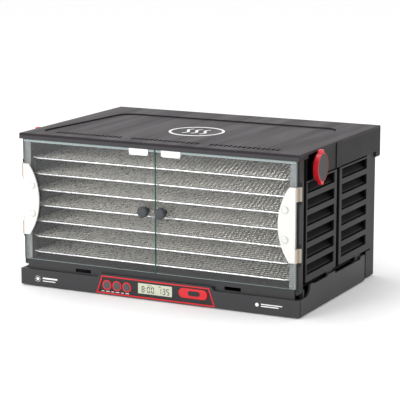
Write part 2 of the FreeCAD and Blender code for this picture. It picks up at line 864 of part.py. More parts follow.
def make_lid_rim():
    """The walls that hang from the lid's top: a low lip round the doors, a skirt round the sides and back."""
    skirt_low = body_height - lid_skirt_height
    rear_low = body_height - lid_rear_height
    walls = [block(skirt_inner, half_width, 0, lid_front_lip, lip_bottom, lid_under),
             block(skirt_inner, half_width, lid_skirt_start, body_depth, skirt_low, lid_under),
             block(skirt_inner, half_width, body_depth - lid_corner_length, body_depth, rear_low, lid_under),
             block(half_width, half_width + lid_step_out, lid_step_y, lid_step_y + lid_step_width, skirt_low,
                   body_height - lid_edge_radius)]
    front = block(-half_width, half_width, 0, lid_rear_thick, lip_bottom, lid_under)
    rear = block(-half_width, half_width, body_depth - lid_rear_thick, body_depth, rear_low, lid_under)
    pieces = [front, rear] + walls + [mirrored(wall) for wall in walls]
    bores = []
    for x in (-lid_hinge_x, lid_hinge_x):
        pieces.append(rod(lid_hinge_radius + part_gap, V(x - lid_hinge_length / 2, lid_axis_y, lid_axis_z),
                          V(x + lid_hinge_length / 2, lid_axis_y, lid_axis_z)))
        bores.append(rod(hinge_pin_radius + hinge_pin_gap, V(x - lid_hinge_length, lid_axis_y, lid_axis_z),
                         V(x + lid_hinge_length, lid_axis_y, lid_axis_z)))
    return cut(fuse(pieces), bores)


def make_latch_catches():
    """The two ledges on the skirt that the turned latches hold down."""
    high = latch_z - 2 * latch_lug_half - part_gap
    front = lid_skirt_start + catch_gap
    outer = latch_inner + latch_thick / 2
    catch = block(half_width, outer, front, front + catch_width, high - catch_height, high)
    return group([catch, mirrored(catch)])


def lid_outline(shrink, low):
    """The sunk middle of the lid as a block, narrower at the back, with rounded corners."""
    front = lid_panel_front + shrink
    back = lid_panel_back - shrink
    front_half = lid_panel_front_half - shrink
    back_half = lid_panel_back_half - shrink
    corners = [V(-front_half, front, low), V(front_half, front, low), V(back_half, back, low),
               V(-back_half, back, low)]
    sunk = prism(corners, V(0, 0, body_height + see_through - low))
    return rounded(sunk, lid_panel_radius - shrink, lambda e: along(e, Z_AXIS))


def vent_places():
    """Centres of the vents, in three rows with a plain stretch between them."""
    reach = lid_panel_front_half - vent_inset
    row = (2 * reach - 2 * vent_break) / 3
    places = []
    for index in range(3):
        first = -reach + index * (row + vent_break)
        count = int(row / vent_pitch) + 1
        places.extend([first + step * vent_pitch for step in range(count)])
    return places


def make_vents():
    vents = []
    for x in vent_places():
        slot = block(-vent_width / 2, vent_width / 2, -vent_length / 2, vent_length / 2, lid_under - 1,
                     body_height + 1)
        slot.translate(V(x, vent_y, 0))
        vents.append(slot)
    return vents


def make_lid_emblem():
    z0 = body_height - lid_panel_depth
    z1 = z0 + emblem_thick
    ring = rod(emblem_radius, V(0, emblem_y, z0), V(0, emblem_y, z1))
    ring = cut(ring, [rod(emblem_radius - emblem_line, V(0, emblem_y, z0 - 1), V(0, emblem_y, z1 + 1))])
    pieces = [ring]
    for x in (-wave_pitch, 0.0, wave_pitch):
        pieces.append(make_heat_wave(x, z0, z1))
    return group(pieces)


def make_heat_wave(x, z0, z1):
    """One rising wave of the warm-air sign: two half rings that bend opposite ways."""
    half = emblem_line / 2
    span = 2 * (wave_radius + emblem_line)
    bends = []
    for side, y in ((-1, emblem_y - wave_radius), (1, emblem_y + wave_radius)):
        bend = rod(wave_radius + half, V(x, y, z0), V(x, y, z1))
        bend = cut(bend, [rod(wave_radius - half, V(x, y, z0 - 1), V(x, y, z1 + 1))])
        keep = block(min(x, x + side * span), max(x, x + side * span), y - span, y + span, z0 - 1, z1 + 1)
        bends.append(bend.common(keep))
    return fuse(bends)


def make_door_magnets():
    y0 = glass_back_y + strike_thick + magnet_gap
    magnet = block(strike_start + magnet_inset, strike_start + strike_length - magnet_inset, y0,
                   y0 + magnet_depth, glass_high - strike_height + part_gap, lid_under)
    return group([magnet, mirrored(magnet)])


def make_lid_hinge_pins():
    pins = []
    for x in (-lid_hinge_x, lid_hinge_x):
        pins.append(rod(hinge_pin_radius, V(x - lid_hinge_length, lid_axis_y, lid_axis_z),
                        V(x + lid_hinge_length, lid_axis_y, lid_axis_z)))
    return group(pins)


# --- latches ----------------------------------------------------------------------------------------------

def latch_oval(half_width, half_height, x0, x1):
    """An upright oval block round the latch's axis."""
    centre = V(x0, latch_y, latch_z)
    outline = Part.Ellipse(centre + V(0, 0, half_height), centre + V(0, half_width, 0), centre)
    return Part.Face(Part.Wire(outline.toShape())).extrude(V(x1 - x0, 0, 0))


def make_latch_knob():
    x0 = latch_inner
    x1 = latch_inner + latch_thick
    body = latch_oval(latch_half_width, latch_half_height, x0, x1)
    body = rounded(body, latch_round, lambda e: e.CenterOfMass.x > x1 - 0.1)
    lugs = []
    tip = latch_half_height + latch_lug_reach
    near = x0 + latch_lug_inset
    for side in (-1, 1):
        root = latch_half_height - latch_lug_reach
        lug = prism([V(near, latch_y - 2 * latch_lug_half, latch_z + side * root),
                     V(near, latch_y + 2 * latch_lug_half, latch_z + side * root),
                     V(near, latch_y + latch_lug_half, latch_z + side * tip),
                     V(near, latch_y - latch_lug_half, latch_z + side * tip)],
                    V(latch_thick - 2 * latch_lug_inset, 0, 0))
        lugs.append(lug)
    knob = fuse([body] + lugs)
    seat = latch_oval(latch_half_width - latch_rim, latch_half_height - latch_rim,
                      x1 - latch_cap_sink - latch_cap_thick, x1 + 1)
    bore = rod(latch_hub_radius + button_bore_gap, V(x0 - 1, latch_y, latch_z), V(x1, latch_y, latch_z))
    return cut(knob, [seat, bore])


def make_latch_cap():
    """The dark disc on a latch, with the spindle that runs through the knob into the wall."""
    x1 = latch_inner + latch_thick - latch_cap_sink
    cap = latch_oval(latch_half_width - latch_rim, latch_half_height - latch_rim, x1 - latch_cap_thick, x1)
    cap = rounded(cap, latch_cap_round, lambda e: e.CenterOfMass.x > x1 - 0.1)
    spindle = rod(latch_hub_radius, V(wall_outer - latch_hub_length + part_gap, latch_y, latch_z),
                  V(x1 - latch_cap_thick / 2, latch_y, latch_z))
    return fuse([cap, spindle])


# --- rear housing -----------------------------------------------------------------------------------------

def housing_solid(shrink, front):
    """The rear housing's outline, or its hollow when shrunk by the wall."""
    top = lid_under - 2 * part_gap - shrink
    low = foot_height + shrink
    half = wall_outer - shrink
    back = housing_back - shrink
    foot_front = base_length + housing_foot_gap + shrink
    column = block(-half, half, column_front + shrink, back, low, top)
    foot = block(-half, half, foot_front, back, low, housing_foot_height - shrink)
    inner = wall_inner - part_gap - shrink
    chest = block(-inner, inner, front, back, low, top)
    return fuse([column, foot, chest])


def make_rear_housing():
    outer = housing_solid(0, housing_front_y)
    shell = cut(outer, [housing_solid(housing_wall, housing_front_y - 1)])
    low = sill_top
    half = wall_inner - part_gap - housing_wall
    sill = block(-half, half, housing_front_y, housing_front_y + housing_wall, foot_height, low)
    x = cover_half
    seat = block(-x, x, housing_back - cover_thick, housing_back + 1, cover_low, cover_high)
    opening = block(-x + cover_seat, x - cover_seat, housing_back - housing_wall - 1, housing_back + 1,
                    cover_low + cover_seat, cover_high - cover_seat)
    socket = block(inlet_x - inlet_width / 2, inlet_x + inlet_width / 2, housing_back - housing_wall - 1,
                   housing_back + 1, inlet_z - inlet_height / 2, inlet_z + inlet_height / 2)
    shell = cut(fuse([shell, sill]), [seat, opening, socket])
    arms = []
    for x in (-lid_hinge_x, lid_hinge_x):
        for side in (-1, 1):
            start = x + side * (lid_hinge_length / 2 + part_gap)
            end = start + side * (lid_hinge_length / 2 - part_gap)
            x0 = min(start, end)
            x1 = max(start, end)
            barrel = rod(lid_hinge_radius, V(x0, lid_axis_y, lid_axis_z), V(x1, lid_axis_y, lid_axis_z))
            arm = block(x0, x1, housing_back - part_gap, lid_axis_y, lid_axis_z - lid_arm_half,
                        lid_axis_z + lid_arm_half)
            arm = fuse([barrel, arm])
            arms.append(cut(arm, [rod(hinge_pin_radius, V(x0 - 1, lid_axis_y, lid_axis_z),
                                      V(x1 + 1, lid_axis_y, lid_axis_z))]))
    return fuse([shell] + arms)


def make_rear_cover():
    half = cover_half - running_gap
    plate = block(-half, half, housing_back - cover_thick, housing_back, cover_low + running_gap,
                  cover_high - running_gap)
    slots = []
    grille_radius = fan_throat_radius - fan_rim
    pitch = 2 * grille_radius / cover_rows
    slot_half = pitch / 3.5
    for x in (-fan_x, fan_x):
        for row in range(cover_rows):
            z = fan_z - grille_radius + (row + 0.5) * pitch
            reach = math.sqrt(fan_throat_radius ** 2 - (z - fan_z) ** 2) - fan_rim
            for x0, x1 in ((x - reach, x - cover_bar_half), (x + cover_bar_half, x + reach)):
                slots.append(block(x0, x1, housing_back - housing_wall - 1, housing_back + see_through,
                                   z - slot_half, z + slot_half))
    screw_x_places, screw_z_places = cover_screw_places()
    for x in screw_x_places:
        for z in screw_z_places:
            slots.append(rod(cover_hole_radius, V(x, housing_back - cover_screw_length, z),
                             V(x, housing_back + see_through, z)))
    return cut(plate, slots)


def cover_screw_places():
    inset = cover_seat + cover_screw_inset
    x = cover_half - inset
    return (-x, 0.0, x), (cover_low + inset, cover_high - inset)


def make_cover_screws():
    screws = []
    screw_x_places, screw_z_places = cover_screw_places()
    for x in screw_x_places:
        for z in screw_z_places:
            top = housing_back + cover_screw_height
            head = rod(cover_screw_radius, V(x, housing_back, z), V(x, top, z))
            head = rounded(head, cover_screw_round, lambda e: e.CenterOfMass.y > top - 0.1)
            shank = rod(cover_hole_radius, V(x, housing_back - cover_screw_length, z),
                        V(x, housing_back + cover_screw_height / 2, z))
            screws.append(fuse([head, shank]))
    return group(screws)


def make_air_baffle():
    half = wall_inner - part_gap
    low = sill_top
    high = wall_top
    plate = block(-half, half, housing_front_y - baffle_thick, housing_front_y, low, high)
    holes = []
    columns = int(2 * (half - baffle_side_margin) / baffle_hole_pitch)
    rows = int((high - low - 2 * baffle_top_margin) / baffle_hole_pitch)
    for column in range(columns + 1):
        for row in range(rows + 1):
            x = (column - columns / 2) * baffle_hole_pitch
            z = (low + high) / 2 + (row - rows / 2) * baffle_hole_pitch
            holes.append(rod(baffle_hole_radius, V(x, housing_front_y - baffle_thick - see_through, z),
                             V(x, housing_front_y + see_through, z)))
    return cut(plate, holes)


def make_fan_frames():
    frames = []
    y1 = fan_back
    y0 = y1 - fan_depth
    side = fan_size / 2
    for x in (-fan_x, fan_x):
        frame = block(x - side, x + side, y0, y1, fan_z - side, fan_z + side)
        frame = rounded(frame, fan_corner, lambda e: along(e, Y_AXIS))
        frame = cut(frame, [rod(fan_throat_radius, V(x, y0 - 1, fan_z), V(x, y1 + 1, fan_z))])
        near = y1 - strut_thick
        reach = fan_throat_radius + see_through
        strut = block(x - reach, x + reach, near, y1, fan_z - strut_half, fan_z + strut_half)
        ring = rod(motor_radius, V(x, near, fan_z), V(x, y1, fan_z))
        frames.append(fuse([frame, ring, strut]))
    return group(frames)


def make_fan_motors():
    motors = []
    y1 = fan_back - strut_thick
    y0 = y1 - motor_length
    for x in (-fan_x, fan_x):
        motor = rod(motor_radius, V(x, y0, fan_z), V(x, y1, fan_z))
        bore = rod(shaft_radius + hinge_pin_gap, V(x, y0 - see_through, fan_z),
                   V(x, y1 - strut_thick / 2, fan_z))
        motors.append(cut(motor, [bore]))
    return group(motors)


def make_impeller(x):
    y1 = fan_back - strut_thick - motor_length - part_gap
    y0 = y1 - hub_length
    hub = rod(fan_hub_radius, V(x, y0, fan_z), V(x, y1, fan_z))
    hub = rounded(hub, hub_round, lambda e: e.CenterOfMass.y < y0 + 0.1)
    shaft = rod(shaft_radius, V(x, y1 - hub_length / 2, fan_z), V(x, y1 + shaft_length, fan_z))
    blades = []
    for index in range(fan_blades):
        blade = block(-blade_half_chord, blade_half_chord, -blade_half_thick, blade_half_thick,
                      fan_hub_radius - hub_round, fan_blade_radius)
        blade.rotate(V(0, 0, 0), Z_AXIS, blade_twist)
        blade.translate(V(0, (y0 + y1) / 2, 0))
        blade.rotate(V(0, 0, 0), Y_AXIS, index * 360 / fan_blades)
        blade.translate(V(x, 0, fan_z))
        blades.append(blade)
    return fuse([hub, shaft] + blades)


def make_heater():
    y = housing_front_y + heater_radius + heater_gap
    half = heater_span / 2
    pieces = []
    low = fan_z - (heater_runs - 1) * heater_pitch / 2
    for run in range(heater_runs):
        z = low + run * heater_pitch
        pieces.append(rod(heater_radius, V(-half, y, z), V(half, y, z)))
    for run in range(heater_runs - 1):
        x = half if run % 2 == 0 else -half
        z = low + run * heater_pitch
        pieces.append(rod(heater_radius, V(x, y, z), V(x, y, z + heater_pitch)))
    high = low + (heater_runs - 1) * heater_pitch
    ends = wall_inner - part_gap - housing_wall
    for side in (-1, 1):
        near = half - heater_radius
        far = near + heater_plate_thick
        plate = block(near, far, y - heater_radius - 1, y + heater_radius + 1, low - heater_plate_margin,
                      high + heater_plate_margin)
        strap = block(far, ends, y - 1, y + 1, fan_z - heater_strap_half, fan_z + heater_strap_half)
        for piece in (plate, strap):
            pieces.append(piece if side > 0 else mirrored(piece))
    return fuse(pieces)


def make_mains_inlet():
    x0 = inlet_x - inlet_width / 2
    x1 = inlet_x + inlet_width / 2
    z0 = inlet_z - inlet_height / 2
    z1 = inlet_z + inlet_height / 2
    body = block(x0, x1, housing_back - inlet_depth, housing_back, z0, z1)
    wall = inlet_wall
    flange = block(x0 - wall, x1 + wall, housing_back, housing_back + inlet_flange_thick, z0 - wall, z1 + wall)
    well = block(x0 + wall, x1 - wall, housing_back - inlet_depth + wall, housing_back + wall, z0 + wall,
                 z1 - wall)
    socket = cut(fuse([body, flange]), [well])
    blades = []
    for dx, dz in inlet_pins:
        x = inlet_x + dx
        z = inlet_z + dz
        blades.append(block(x - inlet_pin_half, x + inlet_pin_half, housing_back - inlet_depth + wall / 2,
                            housing_back - wall, z - inlet_pin_half_height, z + inlet_pin_half_height))
    return fuse([socket] + blades)


def make_nodes():
    """Every named piece of the dehydrator."""
    nodes = {
        "base_tray": make_base_tray(),
        "base_feet": make_feet(),
        "front_fascia": make_front_fascia(),
        "door_sill": make_door_sill(),
        "chamber_floor": make_chamber_floor(),
        "control_bezel": make_control_bezel(),
        "control_panel": make_control_panel(),
        "button_rings": make_button_rings(),
        "screen_window": make_screen(),
        "screen_module": make_screen_module(),
        "control_board": make_control_board(),
        "power_button": make_power_button(),
        "power_button_inlay": make_power_inlay(),
        "hinge_pins": group(make_wall_hinge_pins() + make_door_hinge_pins()),
        "rear_housing": make_rear_housing(),
        "rear_cover": make_rear_cover(),
        "cover_screws": make_cover_screws(),
        "air_baffle": make_air_baffle(),
        "fan_frames": make_fan_frames(),
        "fan_motors": make_fan_motors(),
        "fan_impeller_left": make_impeller(-fan_x),
        "fan_impeller_right": make_impeller(fan_x),
        "heater_element": make_heater(),
        "mains_inlet": make_mains_inlet(),
        "lid_top": make_lid_top(),
        "lid_rim": make_lid_rim(),
        "latch_catches": make_latch_catches(),
        "lid_emblem": make_lid_emblem(),
        "door_magnets": make_door_magnets(),
        "lid_hinge_pins": make_lid_hinge_pins(),
    }
    for index, name in enumerate(("left", "middle", "right")):
        nodes[name + "_button"] = make_button(index)
    for level in range(rack_count):
        nodes["rack_%d" % (level + 1)] = make_rack(level)
    pairs = {
        "side_wall": make_side_wall(),
        "front_post": make_front_post(),
        "rack_rails": make_rack_rails(),
        "door_glass": make_door_glass(),
        "hinge_plate": make_hinge_plate(),
        "hinge_screws": make_hinge_screws(),
        "door_knob": make_door_knob(),
        "strike_plate": make_strike_plate(),
        "latch_knob": make_latch_knob(),
        "latch_cap": make_latch_cap(),
    }
    for name, shape in pairs.items():
        nodes[name + "_right"] = shape
        nodes[name + "_left"] = mirrored(shape)
    return nodes


# The origin is on the floor, midway between the door knobs' tips and the lid's back face.
frontmost = glass_front_y - door_knob_reach - knob_face_rise
to_origin = V(0, -(frontmost + body_depth) / 2, 0)

os.makedirs("parts", exist_ok=True)
for name, shape in make_nodes().items():
    shape.translate(to_origin)
    shape.exportStep("parts/%s.step" % name)
    print(name, len(shape.Solids), round(shape.Volume), shape.isValid())
print("origin sits", round(-to_origin.y, 3), "mm behind the front plane; height", body_height)
print("door axis", door_axis_x, door_axis_y - (-to_origin.y), "lid axis", lid_axis_y + to_origin.y, lid_axis_z)
print("latch axis", latch_y + to_origin.y, latch_z)
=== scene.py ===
# %% [markdown]
# # A folding food dehydrator
# The cabinet comes from the CAD frame: base, walls, rear housing, lid, doors, latches and racks are
# already in place, in metres, and ride on the bodies that move them. This lesson dresses them. It gives
# each piece its finish, and it replaces the pieces whose beauty is in small repeated things, such as the
# woven racks.

# %% Load the frame
import math

import bmesh
import bpy
from mathutils import Matrix, Vector


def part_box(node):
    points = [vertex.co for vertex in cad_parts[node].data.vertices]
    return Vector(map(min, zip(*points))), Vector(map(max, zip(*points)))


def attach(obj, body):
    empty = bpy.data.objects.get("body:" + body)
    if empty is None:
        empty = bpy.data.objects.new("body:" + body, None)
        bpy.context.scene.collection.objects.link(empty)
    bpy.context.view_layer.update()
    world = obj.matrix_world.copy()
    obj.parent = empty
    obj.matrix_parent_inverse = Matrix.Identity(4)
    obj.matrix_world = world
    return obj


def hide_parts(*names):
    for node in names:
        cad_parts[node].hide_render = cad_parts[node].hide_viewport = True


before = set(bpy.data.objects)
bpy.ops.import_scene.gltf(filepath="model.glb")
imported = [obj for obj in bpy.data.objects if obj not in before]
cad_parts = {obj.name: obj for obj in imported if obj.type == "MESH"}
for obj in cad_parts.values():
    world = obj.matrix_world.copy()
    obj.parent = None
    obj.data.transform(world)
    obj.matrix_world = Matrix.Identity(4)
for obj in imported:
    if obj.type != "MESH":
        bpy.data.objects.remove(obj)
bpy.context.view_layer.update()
MM = 0.001

# %% [markdown]
# ## Camera
# A product is usually shown from a few metres away through a long lens, so that upright edges stay nearly
# parallel. The camera is placed by where it looks, how far away it stands, and its two angles. It could
# also be dragged into place by hand, but numbers can be checked and repeated.

# %% Camera
look_at = Vector((0.1403, -0.2815, 0.1987))
distance = 2.6
turn_left = math.radians(26.61)
look_down = math.radians(11.14)
focal_length = 157.5
sensor = 36.0

heading = Vector((-math.sin(turn_left) * math.cos(look_down), math.cos(turn_left) * math.cos(look_down),
                  -math.sin(look_down)))
camera_data = bpy.data.cameras.new("studio_camera")
camera_data.lens = focal_length
camera_data.sensor_width = sensor
camera_data.clip_end = 50.0
camera = bpy.data.objects.new("studio_camera", camera_data)
camera.location = look_at - heading * distance
camera.rotation_euler = (math.radians(90) - look_down, 0.0, turn_left)
bpy.context.scene.collection.objects.link(camera)
bpy.context.scene.camera = camera
print("camera stands at", [round(value, 3) for value in camera.location])

# %% [markdown]
# ## Studio
# The floor is a wide sheet of pale paper. Big area lamps act as softboxes, because small lamps make hard
# shadows and tiny highlights. The world is white, so that glass and satin plastic have something bright
# to reflect. A gradient dome would also do, but an even one keeps the paper even.

# %% Floor, world and lamps
floor_mesh = bpy.data.meshes.new("paper_floor")
floor_half = 14.0
floor_mesh.from_pydata([(-floor_half, -floor_half, 0), (floor_half, -floor_half, 0),
                        (floor_half, floor_half, 0), (-floor_half, floor_half, 0)], [], [(0, 1, 2, 3)])
floor = bpy.data.objects.new("paper_floor", floor_mesh)
bpy.context.scene.collection.objects.link(floor)
paper = bpy.data.materials.new("paper")
paper.use_nodes = True
paper.node_tree.nodes["Principled BSDF"].inputs["Base Color"].default_value = (0.98, 0.98, 0.98, 1)
paper.node_tree.nodes["Principled BSDF"].inputs["Roughness"].default_value = 0.9
floor_mesh.materials.append(paper)

world = bpy.data.worlds.new("studio_world")
world.use_nodes = True
world.node_tree.nodes["Background"].inputs["Color"].default_value = (1.0, 1.0, 1.0, 1)
world.node_tree.nodes["Background"].inputs["Strength"].default_value = 1.0
bpy.context.scene.world = world
bpy.context.scene.view_settings.view_transform = "Standard"


def add_softbox(name, place, aim, size, power):
    """A square area lamp that points at a spot."""
    lamp_data = bpy.data.lights.new(name, "AREA")
    lamp_data.size = size
    lamp_data.energy = power
    lamp = bpy.data.objects.new(name, lamp_data)
    lamp.location = place
    lamp.rotation_euler = (Vector(aim) - Vector(place)).to_track_quat("-Z", "Y").to_euler()
    bpy.context.scene.collection.objects.link(lamp)
    return lamp


add_softbox("front_softbox", (-1.1, -2.5, 1.0), (0, -0.1, 0.1), 1.3, 30)
add_softbox("top_softbox", (-0.6, 0.2, 2.6), (0, 0, 0.1), 1.4, 16)

# %% [markdown]
# ## Helpers for node trees
# Shader trees and geometry trees are both lists of nodes with links. One small function that adds a node
# and fills or links its inputs by name keeps every later cell short enough to read.

# %% Node helpers
def add_node(tree, kind, settings=None, **inputs):
    """Adds a node. An input is named with _ for a space, and takes a value or another node's output."""
    made = tree.nodes.new(kind)
    for key, value in (settings or {}).items():
        setattr(made, key, value)
    for key, value in inputs.items():
        plug(tree, made.inputs[key.replace("_", " ")], value)
    return made


def plug(tree, socket, value):
    """Links an output to a socket, or sets the socket's own value."""
    if isinstance(value, bpy.types.NodeSocket):
        tree.links.new(value, socket)
    else:
        socket.default_value = value


def add_math(tree, operation, first, second=None):
    """A Math node's result."""
    made = add_node(tree, "ShaderNodeMath", {"operation": operation})
    plug(tree, made.inputs[0], first)
    if second is not None:
        plug(tree, made.inputs[1], second)
    return made.outputs[0]


def new_material(name):
    """A material with an empty Principled shader, and the shader itself."""
    material = bpy.data.materials.new(name)
    material.use_nodes = True
    return material, material.node_tree.nodes["Principled BSDF"]


def object_place(tree):
    """Where a point is on the object, in metres."""
    return add_node(tree, "ShaderNodeTexCoord").outputs["Object"]


print("helpers ready")

# %% [markdown]
# ## Moulded plastic
# The cabinet is injection-moulded in charcoal ABS with a fine spark-eroded grain. The grain is too fine
# to be seen as such in most views, so it shows mainly as a soft, broken highlight. A noise at the grain's
# real size drives a small bump, and a slower noise varies colour and roughness a little, as handling and
# moulding do.

# %% Plastic finishes
grain_depth = 0.12 * MM


def make_plastic(name, colour, roughness, grain=0.35, grain_size=0.0007, mottle=0.12, specular=0.5):
    """Moulded plastic with grain in millimetre size and a slow mottle."""
    material, shader = new_material(name)
    tree = material.node_tree
    place = object_place(tree)
    grain_noise = add_node(tree, "ShaderNodeTexNoise", Vector=place, Scale=1 / grain_size, Detail=2.0,
                           Roughness=0.6)
    mottle_noise = add_node(tree, "ShaderNodeTexNoise", Vector=place, Scale=18.0, Detail=4.0, Roughness=0.55)
    shade = add_node(tree, "ShaderNodeMapRange", Value=mottle_noise.outputs["Fac"], To_Min=1 - mottle,
                     To_Max=1 + mottle)
    tint = add_node(tree, "ShaderNodeVectorMath", {"operation": "SCALE"})
    tint.inputs[0].default_value = colour
    tree.links.new(shade.outputs["Result"], tint.inputs["Scale"])
    tree.links.new(tint.outputs["Vector"], shader.inputs["Base Color"])
    gloss = add_node(tree, "ShaderNodeMapRange", Value=mottle_noise.outputs["Fac"], To_Min=roughness - 0.06,
                     To_Max=roughness + 0.08)
    tree.links.new(gloss.outputs["Result"], shader.inputs["Roughness"])
    bump = add_node(tree, "ShaderNodeBump", Strength=grain, Distance=grain_depth,
                    Height=grain_noise.outputs["Fac"])
    tree.links.new(bump.outputs["Normal"], shader.inputs["Normal"])
    shader.inputs["Specular IOR Level"].default_value = specular
    return material


charcoal = make_plastic("charcoal_plastic", (0.030, 0.030, 0.032), 0.5, specular=0.38)
charcoal_side = make_plastic("charcoal_wall_plastic", (0.013, 0.013, 0.013), 0.5, specular=0.25)
charcoal_wall = make_plastic("charcoal_louvre_plastic", (0.013, 0.013, 0.013), 0.5, specular=0.25)
post_plastic = make_plastic("post_plastic", (0.020, 0.020, 0.021), 0.5, specular=0.25)
charcoal_lid = make_plastic("charcoal_lid_plastic", (0.020, 0.0148, 0.0185), 0.5, specular=0.17)
charcoal_rim = make_plastic("charcoal_rim_plastic", (0.032, 0.030, 0.033), 0.5, specular=0.34)
housing_plastic = make_plastic("charcoal_housing_plastic", (0.012, 0.012, 0.012), 0.5, specular=0.25)
black_gloss = make_plastic("panel_black", (0.010, 0.010, 0.011), 0.3, grain=0.1)
button_grey = make_plastic("button_grey", (0.060, 0.064, 0.070), 0.5, grain=0.2)
inner_black = make_plastic("inner_black", (0.012, 0.012, 0.012), 0.55)
red_satin = make_plastic("red_plastic", (0.62, 0.006, 0.016), 0.36, grain=0.12, mottle=0.06)
white_satin = make_plastic("white_plastic", (0.76, 0.76, 0.745), 0.4, grain=0.12, mottle=0.03)
white_print = make_plastic("white_print", (0.86, 0.86, 0.86), 0.55, grain=0.05, mottle=0.02)
slate = make_plastic("knob_slate", (0.032, 0.036, 0.041), 0.42, grain=0.2)
rubber = make_plastic("foot_rubber", (0.015, 0.015, 0.015), 0.8, grain=0.5)
print("plastic finishes", len(bpy.data.materials) - 1)

# %% [markdown]
# ## Depth in the louvres
# The hollows of the louvres lie in shade, so the wall's finish fades to near black with depth,
# measured from the wall's outer face. This near black is painted shade.
# The posts get the opposite, a painted highlight: their front faces are painted pale as far out as the
# panes reach. The lid's sides and the front of the rear housing's foot get painted shade, a darker tone,
# in the same way.

# %% Finishes that follow a distance
def blend_by_place(material, axis, start, end, other_colour, other_specular):
    """Blends a plastic to another colour as one coordinate's size goes from start to end."""
    tree = material.node_tree
    shader = tree.nodes["Principled BSDF"]
    first_colour = shader.inputs["Base Color"].links[0].from_socket
    split = add_node(tree, "ShaderNodeSeparateXYZ", Vector=object_place(tree))
    reach = split.outputs[axis]
    if axis == "X":
        reach = add_math(tree, "ABSOLUTE", reach)
    share = add_node(tree, "ShaderNodeMapRange", Value=reach, From_Min=start, From_Max=end)
    mix = add_node(tree, "ShaderNodeMix", {"data_type": "RGBA"})
    tree.links.new(share.outputs["Result"], mix.inputs[0])
    tree.links.new(first_colour, mix.inputs[6])
    mix.inputs[7].default_value = (*other_colour, 1)
    tree.links.new(mix.outputs[2], shader.inputs["Base Color"])
    sheen = add_node(tree, "ShaderNodeMapRange", Value=share.outputs["Result"],
                     To_Min=shader.inputs["Specular IOR Level"].default_value, To_Max=other_specular)
    tree.links.new(sheen.outputs["Result"], shader.inputs["Specular IOR Level"])


wall_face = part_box("side_wall_right")[1][0]
post_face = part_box("front_post_right")[0][1]
pane_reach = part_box("door_glass_right")[1][0] + 0.2 * MM
lid_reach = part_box("lid_top")[1][0]
foot_gap = 13.5 * MM
foot_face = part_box("base_tray")[1][1] + foot_gap
# Painted shade: the louvre hollows fade to near black with depth into the wall.
blend_by_place(charcoal_wall, "X", wall_face - 0.6 * MM, wall_face - 4.8 * MM, (0.002, 0.002, 0.002), 0.03)
# Painted highlight: the posts' front faces go pale where the panes cover them.
blend_by_place(post_plastic, "Y", post_face + 0.6 * MM, post_face + 0.2 * MM, (0.34, 0.35, 0.35), 0.4)
blend_by_place(post_plastic, "X", pane_reach, pane_reach + 0.2 * MM, (0.016, 0.016, 0.016), 0.25)
# Painted shade: the lid's side faces are darker than its front lip.
blend_by_place(charcoal_rim, "X", lid_reach - 1.5 * MM, lid_reach - 0.5 * MM, (0.009, 0.0085, 0.009), 0.16)
# Painted shade: the front of the rear housing's foot goes near black.
blend_by_place(housing_plastic, "Y", foot_face + 0.4 * MM, foot_face + 0.1 * MM, (0.002, 0.002, 0.002), 0.05)
print("wall face", round(wall_face / MM, 1), "post face", round(post_face / MM, 1))

# %% [markdown]
# ## Lid finish
# The lid's sunk middle has faint flow lines where the plastic spread through the mould. They are long and
# thin, so the noise that draws them is stretched across the lid. They only change the gloss, not the
# shape.

# %% Lid finish
def add_flow_lines(material):
    """Long streaks in the gloss of a plastic."""
    tree = material.node_tree
    shader = tree.nodes["Principled BSDF"]
    stretch = add_node(tree, "ShaderNodeMapping", Vector=object_place(tree),
                       Rotation=(0, 0, math.radians(24)), Scale=(40, 3, 3))
    streak = add_node(tree, "ShaderNodeTexNoise", Vector=stretch.outputs["Vector"], Scale=1.0, Detail=3.0,
                      Roughness=0.5)
    gloss = add_node(tree, "ShaderNodeMapRange", Value=streak.outputs["Fac"], From_Min=0.35, From_Max=0.65,
                     To_Min=0.40, To_Max=0.52)
    tree.links.new(gloss.outputs["Result"], shader.inputs["Roughness"])


add_flow_lines(charcoal_lid)
print("flow lines on", charcoal_lid.name)

# %% [markdown]
# ## Metals
# Bright steel wire, plain steel pins and galvanised sheet differ mostly in roughness. Steel that is drawn
# through a die has fine lines along it, but at this size a little noise in the roughness is enough. The
# woven wire also gets a painted highlight where its crimp is up and painted shade where it dips, and
# gets lighter and darker with uneven wear, which is a noise as fine as the weave.

# %% Metal finishes
def make_metal(name, colour, roughness, metallic=1.0, spread=0.1):
    """Metal whose polish varies slowly."""
    material, shader = new_material(name)
    tree = material.node_tree
    noise = add_node(tree, "ShaderNodeTexNoise", Vector=object_place(tree), Scale=120.0, Detail=3.0)
    gloss = add_node(tree, "ShaderNodeMapRange", Value=noise.outputs["Fac"], To_Min=roughness - spread,
                     To_Max=roughness + spread)
    tree.links.new(gloss.outputs["Result"], shader.inputs["Roughness"])
    shader.inputs["Base Color"].default_value = (*colour, 1)
    shader.inputs["Metallic"].default_value = metallic
    return material


wire_steel = make_metal("wire_steel", (0.80, 0.78, 0.76), 0.30, metallic=0.7)
rod_steel = make_metal("rod_steel", (0.92, 0.92, 0.92), 0.25, metallic=0.8)
pin_steel = make_metal("pin_steel", (0.62, 0.62, 0.62), 0.35)
zinc_sheet = make_metal("zinc_sheet", (0.50, 0.51, 0.53), 0.4)
screw_steel = make_metal("screw_steel", (0.75, 0.75, 0.75), 0.3)
screw_nickel = make_metal("screw_nickel", (0.66, 0.66, 0.65), 0.26, metallic=0.8)
black_steel = make_metal("blackened_steel", (0.03, 0.03, 0.03), 0.5, metallic=0.3)
crimp_share = 0.32
mean_shine = 0.70
wear = 0.42


